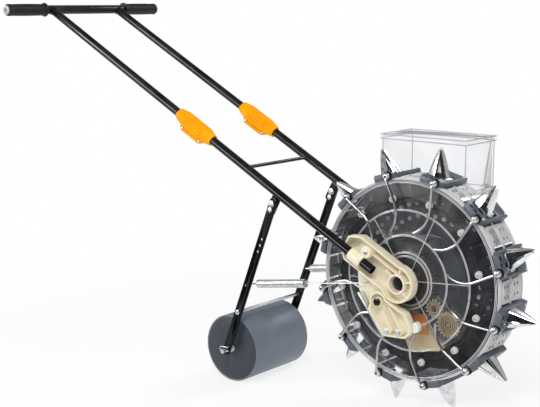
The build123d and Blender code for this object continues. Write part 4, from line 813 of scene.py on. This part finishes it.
ring_tree = new_tree("copies_round_axle", {
    "Piece": "Geometry", "Count": "Int", "Centre": "Vector", "Finish": "Material",
})
index = Link(ring_tree).node("GeometryNodeInputIndex")
turn_by = index * (2 * pi / tree_input(ring_tree, "Count"))
spin = index.node("ShaderNodeCombineXYZ", (), {"Y": turn_by})
sockets = {"Count": tree_input(ring_tree, "Count"), "Position": tree_input(ring_tree, "Centre")}
stations = index.node("GeometryNodePoints", (), sockets)
sockets = {"Points": stations, "Instance": tree_input(ring_tree, "Piece"), "Rotation": spin}
close_tree(ring_tree, index.node("GeometryNodeInstanceOnPoints", (), sockets))


def fit_round(name, shape, count, material, slot):
    """Fit copies of a form on the drum, evenly round the axle."""
    bmesh.ops.translate(shape, verts=shape.verts, vec=-AXLE)
    mesh = grown(ring_tree, to_mesh(shape, "one_of_many"), Count=count, Centre=AXLE, Finish=material)
    fit(name, mesh, material, "drum", slot)


def clear(name, tint, body, haze, rough, bend=1.3, cloud=0.02, grain=30.0, disc=None):
    """Clear moulded plastic: see-through face on, whiter where it is seen along its wall, and glossy.

    Inside a disc radius round the axle it is a little smoky, and shines more than outside it.
    """
    material, place = new_finish(name)
    flow = noise(place, grain, 4.0)
    ripple = bump(noise(place, 12.0, 1.0), 0.02, 0.001)
    facing = place.node("ShaderNodeLayerWeight", (), {"Blend": 0.4}, out="Facing")
    solid = body + facing**3.0 * haze + flow.between(0.35, 0.7) * cloud
    glint = place.node("ShaderNodeFresnel", (), {"IOR": bend})
    if disc:
        inner = 1 - from_axis(place, AXLE).between(disc, disc + 0.002)
        solid = solid + inner * 0.03
        glint = glint * (0.35 + inner * 0.65)
    skin = principled(place, (*tint, 1), rough + flow * 0.06, ripple)
    through = place.node("ShaderNodeBsdfTransparent", (), {"Color": (0.98, 0.982, 0.985, 1)})
    wall = place.node("ShaderNodeMixShader", (), {0: solid, 1: through, 2: skin})
    shine = place.node("ShaderNodeBsdfGlossy", (), {"Roughness": rough, "Normal": ripple})
    surface(place.node("ShaderNodeMixShader", (), {0: glint, 1: wall, 2: shine}))
    return material


clear_plastic = clear("clear_plastic", (0.42, 0.45, 0.50), 0.008, 0.35, 0.2, disc=DISC_R)
# Painted highlight: the ribs' finish is whiter and more solid than the clear walls.
clear_rib = clear("clear_rib", (0.93, 0.93, 0.94), 0.5, 0.4, 0.08)
window_clear = clear("window_clear", (0.93, 0.92, 0.925), 0.40, 0.4, 0.05, cloud=0.14, grain=60.0)
window_smoky = clear("window_smoky", (0.40, 0.36, 0.36), 0.36, 0.3, 0.08, cloud=0.3, grain=160.0)
frosted = clear("frosted_plastic", (0.84, 0.845, 0.85), 0.62, 0.3, 0.25)
for side in ("near", "far"):
    dress(f"{side}_drum_shell", f"{side}_shell", 0.0006, clear_plastic, "drum", "clear_plastic")
dress("seed_chamber_ring", "chamber_ring", 0.0008, dark_plastic, "drum", "dark_plastic")
web = [(WEB_NEAR, WEB_BORE), (WEB_NEAR, WEB_R), (WEB_FAR, WEB_R), (WEB_FAR, WEB_BORE)]
mesh = turned("chamber_web", web, AXLE, ACROSS, 128, closed=True)
fit("chamber_web", mesh, dark_plastic, "drum", "dark_plastic")
cup = [(0, 0), (0, CUP_R), (CUP_HIGH, CUP_R - 0.0005), (CUP_HIGH, CUP_R - 0.0015)]
cup += [(CUP_FLOOR, CUP_R - 0.002), (CUP_FLOOR, 0)]
for radius, count in CUP_RINGS:
    shape = bmesh.new()
    turn(shape, cup, at_wheel(0, radius, WEB_NEAR), -ACROSS, 20)
    fit_round(f"chamber_cups_{count}", shape, count, frosted, "dark_plastic")

wires = [(ring + shift, -RING_PROUD, wire) for ring in RINGS for shift, wire in RING_WIRES]
wires += [(lip, DRUM_NEAR, wire) for lip, wire in RIM_LIPS]
wires += [(lip, DRUM_FAR, wire) for lip, wire in FAR_LIPS + RIM_LIPS]
wires += [(RIM_R, y, RIM_EDGE_R) for y in RIM_EDGES]
shape = bmesh.new()
for radius, y, wire in wires:
    sweep(shape, [at_wheel(a, radius, y) for a in round_steps(128)], wire, 8, closed=True)
fit("shell_rings", to_mesh(shape, "shell_rings"), clear_rib, "drum", "clear_plastic")

shape = bmesh.new()
spoke = [at_wheel(SPOKE_TURN, SPOKE_FROM, -SPOKE_PROUD), at_wheel(SPOKE_TURN, RINGS[-1], -SPOKE_PROUD)]
sweep(shape, spoke, SPOKE_R, 10)
fit_round("shell_spokes", shape, SPOKES, clear_rib, "clear_plastic")

shape = bmesh.new()
boss = [(0, 0), (0, BOSS_R + 0.001), (0.004, BOSS_R), (0.0055, BOSS_R), (BOSS_HIGH, BOSS_R - 0.0008)]
boss += [(BOSS_HIGH, 0.0032), (BOSS_FLOOR, 0.003), (BOSS_FLOOR, 0)]
turn(shape, boss, at_wheel(PIVOT_ANGLE, BOSS_AT, DRUM_NEAR), -ACROSS, 28)
nut = [(0, 0), (0, BOSS_R), (0.0020, BOSS_R - 0.0006), (NUT_HIGH, BOSS_R - 0.0016), (NUT_HIGH, 0)]
turn(shape, nut, at_wheel(PIVOT_ANGLE, BOSS_AT, DRUM_FAR), ACROSS, 28)
fit_round("shell_bosses", shape, BEAKS, frosted, "clear_plastic")
seats = [at_wheel(PIVOT_ANGLE + PITCH * i, BOSS_AT, DRUM_NEAR - SCREW_SEAT) for i in range(BEAKS)]
set_screws("shell_screws", pan_head(*SHELL_SCREW), [(seat, -ACROSS) for seat in seats], zinc, "drum", "zinc")


def window_arc(start, end):
    """Angles along a rim window, from one share of its width to another."""
    shares = [start + (end - start) * k / WINDOW_STEPS for k in range(WINDOW_STEPS + 1)]
    return [BASE_ANGLE + WINDOW_FROM + (WINDOW_TO - WINDOW_FROM) * share for share in shares]


def curved_plate(shape, arc, near, far, low, high):
    """Add a thin plate to a bmesh, bent round the rim."""
    rows = []
    for a in arc:
        section = ((low, near), (high, near), (high, far), (low, far))
        rows.append([shape.verts.new(at_wheel(a, r, y)) for r, y in section])
    bridge(shape, rows, capped=True)


shape = bmesh.new()
edging = bmesh.new()
smoky = bmesh.new()
slots = bmesh.new()
for near, far in WINDOWS:
    arc = window_arc(0, 1)
    curved_plate(shape, arc, near, far, RIM_R, WINDOW_R)
    edge = [at_wheel(a, WINDOW_R, near) for a in arc] + [at_wheel(a, WINDOW_R, far) for a in reversed(arc)]
    sweep(edging, edge, WINDOW_FRAME, 8, closed=True)
    for share in WINDOW_BARS:
        y = near + (far - near) * share
        sweep(edging, [at_wheel(a, WINDOW_R, y) for a in arc], SLOT_R, 8)
    for share in SLOTS_ACROSS:
        y = near + (far - near) * share
        for start in SLOTS_ALONG:
            arc = window_arc(start, start + SLOT_SHARE)
            sweep(slots, [at_wheel(a, WINDOW_R + PANE_HALF, y) for a in arc], SLOT_R, 8)
near, far = WINDOWS[0]
sides = (near + PANE_INSET[0], far - PANE_INSET[1])
curved_plate(smoky, window_arc(*PANE_SHARE), *sides, WINDOW_R - PANE_HALF, WINDOW_R + PANE_HALF)
fit_round("rim_windows", shape, BEAKS, window_clear, "clear_plastic")
fit_round("window_frames", edging, BEAKS, clear_rib, "clear_plastic")
fit_round("window_panes", smoky, BEAKS, window_smoky, "clear_plastic")
fit_round("window_slots", slots, BEAKS, dark_plastic, "dark_plastic")

# Beak bases: slate mouldings screwed to the rim, each with a mouth for the seed, a bearing for its lever,
# square pockets at its near end and three screws. The pockets hold near-black floor plates, a painted shade.
BASE_TOP = 0.216
POCKETS = (
    (-0.0168, -0.0600, (0.0062, 0.0050)),
    (-0.0038, -0.0600, (0.0055, 0.0050)),
    (-0.0130, -0.0435, (0.0060, 0.0028)),
)
POCKET_SUNK = 0.001
POCKET_WALL = 0.0015
POCKET_RISE = 0.0032
POCKET_FLOOR = 0.0020
FLOOR_EDGE = 0.001
BASE_SCREWS = ((-0.024, 0.027), (0.018, 0.027), (0.0165, -0.0535))
BASE_SCREW = (0.003, 0.002)
BARREL = (-0.0655, -0.0430)
BARREL_R = 0.0074
BEARING_R = 0.0088
BEARING_AT = (-0.0610, -0.0688)
PEG_EDGE = 0.001


def open_box(shape, lead, y, half, wall, height, floor):
    """Add a square pocket to a bmesh, sunk a little into the top face of the first base."""
    rows = []
    for inset, rise in ((0, 0), (0, height), (wall, height), (wall, floor)):
        radius = BASE_TOP + (rise - POCKET_SUNK)
        half_lead, half_y = (side - inset for side in half)
        corners = [at_wheel(BASE_ANGLE, radius, y + b * half_y, lead + a * half_lead) for a, b in SQUARE]
        rows.append([shape.verts.new(corner) for corner in corners])
    bridge(shape, rows, capped=True)


def peg(length, radius):
    """Profile of a short rod with the edge of its free end broken."""
    return [(0, 0), (0, radius), (length - PEG_EDGE, radius), (length, radius - PEG_EDGE), (length, 0)]


# Painted shade: near-black plates floor the pockets; the black is also the bearings' own colour.
bearing_black_and_pocket_shade = moulded("recess_black", (0.004, 0.004, 0.005), (0.003, 0.003, 0.004), 0.6, shine=0.05)
base_slate = moulded("base_slate", (0.088, 0.102, 0.128), (0.074, 0.086, 0.108), 0.34, depth=0.03)
dress("beak_base_blocks", "beak_bases", 0.001, base_slate, "drum", "grey_plastic")
shape = bmesh.new()
bearings_and_pocket_shade_floors = bmesh.new()
for lead, y, half in POCKETS:
    open_box(shape, lead, y, half, POCKET_WALL, POCKET_RISE, POCKET_SUNK)
    inside = [side - POCKET_WALL / 2 for side in half]
    open_box(bearings_and_pocket_shade_floors, lead, y, inside, FLOOR_EDGE, POCKET_FLOOR, POCKET_FLOOR)
barrel = peg(BARREL[1] - BARREL[0], BARREL_R)
turn(shape, barrel, at_wheel(PIVOT_ANGLE, PIVOT_R, BARREL[0]), ACROSS, 32)
bearing = peg(BEARING_AT[0] - BEARING_AT[1], BEARING_R)
turn(bearings_and_pocket_shade_floors, bearing, at_wheel(PIVOT_ANGLE, PIVOT_R, BEARING_AT[0]), -ACROSS, 32)
fit_round("base_pockets", shape, BEAKS, base_slate, "grey_plastic")
fit_round("base_bearings", bearings_and_pocket_shade_floors, BEAKS, bearing_black_and_pocket_shade, "grey_plastic")
places = []
for i in range(BEAKS):
    a = BASE_ANGLE + PITCH * i
    places += [(at_wheel(a, BASE_TOP, y, lead), Vector((sin(a), 0, cos(a)))) for lead, y in BASE_SCREWS]
set_screws("base_screws", pan_head(*BASE_SCREW), places, zinc, "drum", "zinc")

# Beaks: folded bright steel, a fixed trailing jaw on each base and a moving leading jaw on a bent wire
# lever that turns in the base, held by a collar where it comes out.
BEAK_Y = -0.022
TIP_R = 0.2694
TIP_ANGLE = -PITCH / 2
TIP_H = TIP_R * cos(TIP_ANGLE - BASE_ANGLE)
TIP_LEAD = TIP_R * sin(TIP_ANGLE - BASE_ANGLE) + 0.0015
JAW_WALL = 0.0017
JAW_BOW = 0.0010
JAW_STEPS = 16
JAW_HOLLOW = (0.82, 0.94)
FOLD_ROUND = 0.38
FOLD_STEPS = 5
FIXED_JAW = ((BASE_TOP, -0.0065, -0.029, 0.023, 0.015), (TIP_H, TIP_LEAD, TIP_LEAD - 0.003, 0.005, 0.0039))
MOVING_TIP = TIP_LEAD + 0.001
MOVING_JAW = (
    (BASE_TOP + 0.0005, 0.003, 0.013, 0.0105, 0.0085),
    (TIP_H - 0.003, MOVING_TIP, MOVING_TIP + 0.003, 0.0055, 0.0045),
)
WIRE_R = 0.00275
LEVER_START = 0.0105
LEVER_Y = -0.076
LEVER_BENDS = (0.008, 0.060)
LEVER_KNEE = (0.0187, 0.0792)
LEVER_END = (-0.008, 0.108)
CAP_R = 0.0072
SLEEVE_R = 0.006
SLEEVE = (-0.030, -0.014)


def folded(split, back, half, back_half):
    """Folded sheet seen along a jaw, from one open edge round the flat back to the other."""
    corners = [(split, half), (back, back_half), (back, -back_half), (split, -half)]
    line = [corners[0]]
    for before, corner, after in zip(corners, corners[1:], corners[2:]):
        for k in range(FOLD_STEPS + 1):
            u = k / FOLD_STEPS
            weights = (FOLD_ROUND * (1 - u) ** 2, FOLD_ROUND * u**2)
            rest = 1 - sum(weights)
            line.append(tuple(
                weights[0] * b + rest * c + weights[1] * a for b, c, a in zip(before, corner, after)
            ))
    return line + [corners[-1]]


def jaw(shape, angle, root, tip):
    """Add a jaw to a bmesh. Its root and tip are each a height, a split, a back and two half widths."""
    rows = []
    for k in range(JAW_STEPS + 1):
        share = k / JAW_STEPS
        height, split, back, half, back_half = (a + (b - a) * share for a, b in zip(root, tip))
        bow = JAW_BOW * sin(pi * share)
        back += bow if back > split else -bow
        depth = abs(back - split)
        solid = min(1.0, max(0.0, (share - JAW_HOLLOW[0]) / (JAW_HOLLOW[1] - JAW_HOLLOW[0])))
        inner = max(0.0, 1 - JAW_WALL / depth) * (1 - solid)
        narrow = 1 - JAW_WALL / (half + JAW_WALL)
        outside = folded(split, back, half + bow, back_half + bow)
        inside = [(split + (lead - split) * inner, y * narrow) for lead, y in reversed(outside)]
        section = [at_wheel(angle, height, BEAK_Y + y, lead) for lead, y in outside + inside]
        rows.append([shape.verts.new(point) for point in section])
    bridge(shape, rows)
    for row in (rows[0], rows[-1]):
        for n in range(len(row) // 2 - 1):
            shape.faces.new((row[n], row[n + 1], row[-2 - n], row[-1 - n]))


def bent(corners, radii, steps=10):
    """Points of a line through corners, with an arc at each inner one."""
    line = [corners[0]]
    for before, corner, after, radius in zip(corners, corners[1:], corners[2:], radii):
        back = (before - corner).normalized()
        ahead = (after - corner).normalized()
        turn_angle = pi - back.angle(ahead)
        inward = (back + ahead).normalized()
        centre = corner + inward * (radius / cos(turn_angle / 2))
        along = (ahead - back).normalized()
        for k in range(steps + 1):
            a = turn_angle * (k / steps - 0.5)
            line.append(centre - inward * (radius * cos(a)) + along * (radius * sin(a)))
    return line + [corners[-1]]


chrome = plated("bright_steel", (0.86, 0.87, 0.88), 0.07, 0.4)
# Painted reflection: the lever steel is darker than the jaws' to stand for dark reflections along the wires.
wire_steel = plated("wire_steel", (0.52, 0.53, 0.55), 0.10, 0.4)
shape = bmesh.new()
for i in range(BEAKS):
    jaw(shape, BASE_ANGLE + PITCH * i, *FIXED_JAW)
fit("fixed_beak_jaws", to_mesh(shape, "fixed_jaws", 50.0), chrome, "drum", "beak_steel", "fixed_jaws")
cap = [(0, WIRE_R), (0, CAP_R), (0.003, CAP_R), (0.0055, CAP_R - 0.001), (0.0072, CAP_R - 0.0026)]
cap += [(0.0078, WIRE_R)]
length = SLEEVE[1] - SLEEVE[0]
sleeve = [(0, WIRE_R), (0, SLEEVE_R), (length, SLEEVE_R), (length, WIRE_R)]
for i in range(BEAKS):
    a = PIVOT_ANGLE + PITCH * i
    body, node = f"beak_{i + 1:02d}", f"beak_lever_{i + 1:02d}"
    shape = bmesh.new()
    jaw(shape, BASE_ANGLE + PITCH * i, *MOVING_JAW)
    fit(f"moving_jaw_{i + 1:02d}", to_mesh(shape, "moving_jaw", 50.0), chrome, body, "beak_steel", node)
    shape = bmesh.new()
    corners = [at_wheel(a, PIVOT_R, LEVER_START), at_wheel(a, PIVOT_R, LEVER_Y)]
    corners += [at_wheel(a, PIVOT_R - drop, LEVER_Y, lead) for lead, drop in (LEVER_KNEE, LEVER_END)]
    sweep(shape, bent(corners, LEVER_BENDS), WIRE_R, 16)
    fit(f"opening_lever_{i + 1:02d}", to_mesh(shape, "lever"), wire_steel, body, "beak_steel")
    shape = bmesh.new()
    turn(shape, cap, at_wheel(a, PIVOT_R, BEARING_AT[1]), -ACROSS, 24, closed=True)
    turn(shape, sleeve, at_wheel(a, PIVOT_R, SLEEVE[0]), ACROSS, 24, closed=True)
    fit(f"lever_cap_{i + 1:02d}", to_mesh(shape, "lever_cap"), zinc, body, "beak_steel")

# Hopper: a clear moulded bin beside the drum with a spout into the side plate, and a lift-off lid. Its
# corners and rims are thicker, and are painted grey along them, a painted shade.
HOPPER_LEAN = radians(5)
HOPPER_TOP = 0.274
HOPPER_FOOT = 0.170
HOPPER_X = -0.0345
HOPPER_Y = 0.097
HOPPER_HALF = (0.100, 0.056)
LID_OUT = 0.004
LID_SKIRT = 0.007
LID_WALL = 0.002
LID_BEAD_IN = 0.0008
THROAT = (0.104, 0.058, 0.030, 0.019)
BEAD_R = 0.0012


def at_hopper(height, x, y):
    """A point of the hopper, in its own leaning directions from the axle."""
    return at_wheel(HOPPER_LEAN, height, y, x)


def hopper_corners(height, grow=0.0):
    half = [h + grow for h in HOPPER_HALF]
    return [at_hopper(height, HOPPER_X + x * half[0], HOPPER_Y + y * half[1]) for x, y in SQUARE]


hopper_clear = clear("hopper_clear", (0.84, 0.855, 0.87), 0.05, 0.07, 0.1, bend=1.06)
# Painted shade: the corner and rim beads are tinted grey.
hopper_edge = clear("hopper_edge", (0.52, 0.53, 0.58), 0.5, 0.3, 0.1, bend=1.15)
lid_clear = clear("lid_clear", (0.95, 0.955, 0.965), 0.14, 0.14, 0.1, bend=1.004)
dress("seed_hopper", "hopper_bin", 0.0012, hopper_clear, "frame", "clear_plastic")
dress("lift_off_lid", "hopper_lid", 0.0012, lid_clear, "hopper_cover", "lid_plastic")
shape = bmesh.new()
height, middle, half_x, half_y = THROAT
throat = [at_hopper(height, x * half_x, middle + y * half_y) for x, y in SQUARE]
for top, foot, end in zip(hopper_corners(HOPPER_TOP - LID_SKIRT), hopper_corners(HOPPER_FOOT), throat):
    sweep(shape, [top, foot, end], BEAD_R, 10)
sweep(shape, hopper_corners(HOPPER_FOOT), BEAD_R * 0.8, 8, closed=True)
fit("hopper_corners", to_mesh(shape, "hopper_corners"), hopper_edge, "frame", "clear_plastic")
shape = bmesh.new()
for height in (HOPPER_TOP - LID_SKIRT, HOPPER_TOP + LID_WALL):
    sweep(shape, hopper_corners(height, LID_OUT - LID_BEAD_IN), BEAD_R, 10, closed=True)
fit("lid_rims", to_mesh(shape, "lid_rims"), hopper_edge, "hopper_cover", "lid_plastic")

# Roller arms: flat steel bars sprayed black, with three spare holes, hung from lugs under the tubes on
# bright bolts, with a stay rod between them.
dress("roller_arm_lugs", "arm_lugs", 0.0005, gloss_black, "frame", "black_tube")
for side in ("near", "far"):
    dress(f"{side}_flat_arm", f"{side}_arm", 0.0005, gloss_black, "roller_arm", "arm_black")
for node, body in (
    ("hinge_bolts", "frame"),
    ("stop_bolts", "roller_arm"),
    ("stay_rod", "roller_arm"),
    ("roller_axle", "roller_arm"),
    ("roller_clips", "roller_arm"),
):
    dress(node + "_bright", node, 0.0004, zinc, body, "zinc")

# Tension springs: close-wound bright wire from each arm to its bracket, with a tail through the arm and a
# hook in the bracket.
HINGE = joint_at["arm_swing"]
ROLLER = joint_at["roller_spin"]
ARM_SPRING_AT = 0.204
SPRING_Y = 0.094
BRACKET_EYE = AXLE + Vector((-0.080, 0, -0.004))
ARM_EYE = HINGE + (ROLLER - HINGE).normalized() * ARM_SPRING_AT
PULL = (BRACKET_EYE - ARM_EYE).normalized()
LIFT = PULL.cross(ACROSS)
SPRING_R = 0.00805
SPRING_WIRE = 0.00145
SPRING_LEAD = 0.022
SPRING_LENGTH = 0.134
SPRING_TURNS = 43
SPRING_RAMP = 0.005
SPRING_BEND = 0.0056
SPRING_TAIL, SPRING_HOOK = 0.019, 0.018
TURN_STEPS = 16


def coil_point(turn_number):
    """A point of the wire after some turns. Half a turn before and after them it winds in to the axis."""
    past = max(-turn_number, turn_number - SPRING_TURNS, 0.0) / 0.5
    along = SPRING_LEAD + SPRING_LENGTH * min(max(turn_number / SPRING_TURNS, 0), 1)
    along += past * SPRING_RAMP * (1 if turn_number > 0 else -1)
    swell = SPRING_R * (1 - past**2 * (3 - 2 * past))
    a = 2 * pi * turn_number
    return ARM_EYE + PULL * along + (ACROSS * cos(a) + LIFT * sin(a)) * swell


spring_steel = plated("spring_steel", (0.76, 0.79, 0.80), 0.32)
steps = (SPRING_TURNS + 1) * TURN_STEPS
coil = [coil_point(-0.5 + k / TURN_STEPS) for k in range(steps + 1)]
tail = bent([ARM_EYE - ACROSS * SPRING_TAIL, ARM_EYE, coil[0]], [SPRING_BEND], 6)
hook = bent([coil[-1], BRACKET_EYE, BRACKET_EYE + ACROSS * SPRING_HOOK], [SPRING_BEND], 6)
for side, y in (("near", -1), ("far", 1)):
    wire = [Vector((p.x, y * (SPRING_Y - p.y), p.z)) for p in tail + coil[1:-1] + hook]
    shape = bmesh.new()
    sweep(shape, wire, SPRING_WIRE, 8)
    spring = in_scene(f"{side}_tension_spring", to_mesh(shape, "spring"))
    spring.data.materials.append(spring_steel)
    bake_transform(spring)
    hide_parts(f"{side}_spring")

# Press roller: a slate plastic tube that firms the soil over the seed, with flush end caps, turning on nylon
# bushes on its axle. The end caps are painted much darker than the tube, a painted shade.
roller_grey = moulded("roller_grey", (0.138, 0.168, 0.206), (0.122, 0.149, 0.184), 0.36, depth=0.02)
# Painted shade: the end caps are several times darker than the tube.
cap_grey = moulded("cap_grey", (0.027, 0.036, 0.050), (0.023, 0.031, 0.043), 0.4, depth=0.02)
dress("roller_tube", "roller_drum", 0.0012, roller_grey, "press_roller", "roller_grey")
dress("roller_end_caps", "roller_caps", 0.0008, cap_grey, "press_roller", "roller_grey")
dress("roller_bearings", "roller_bushes", 0.0005, nylon, "press_roller", "bush_nylon")
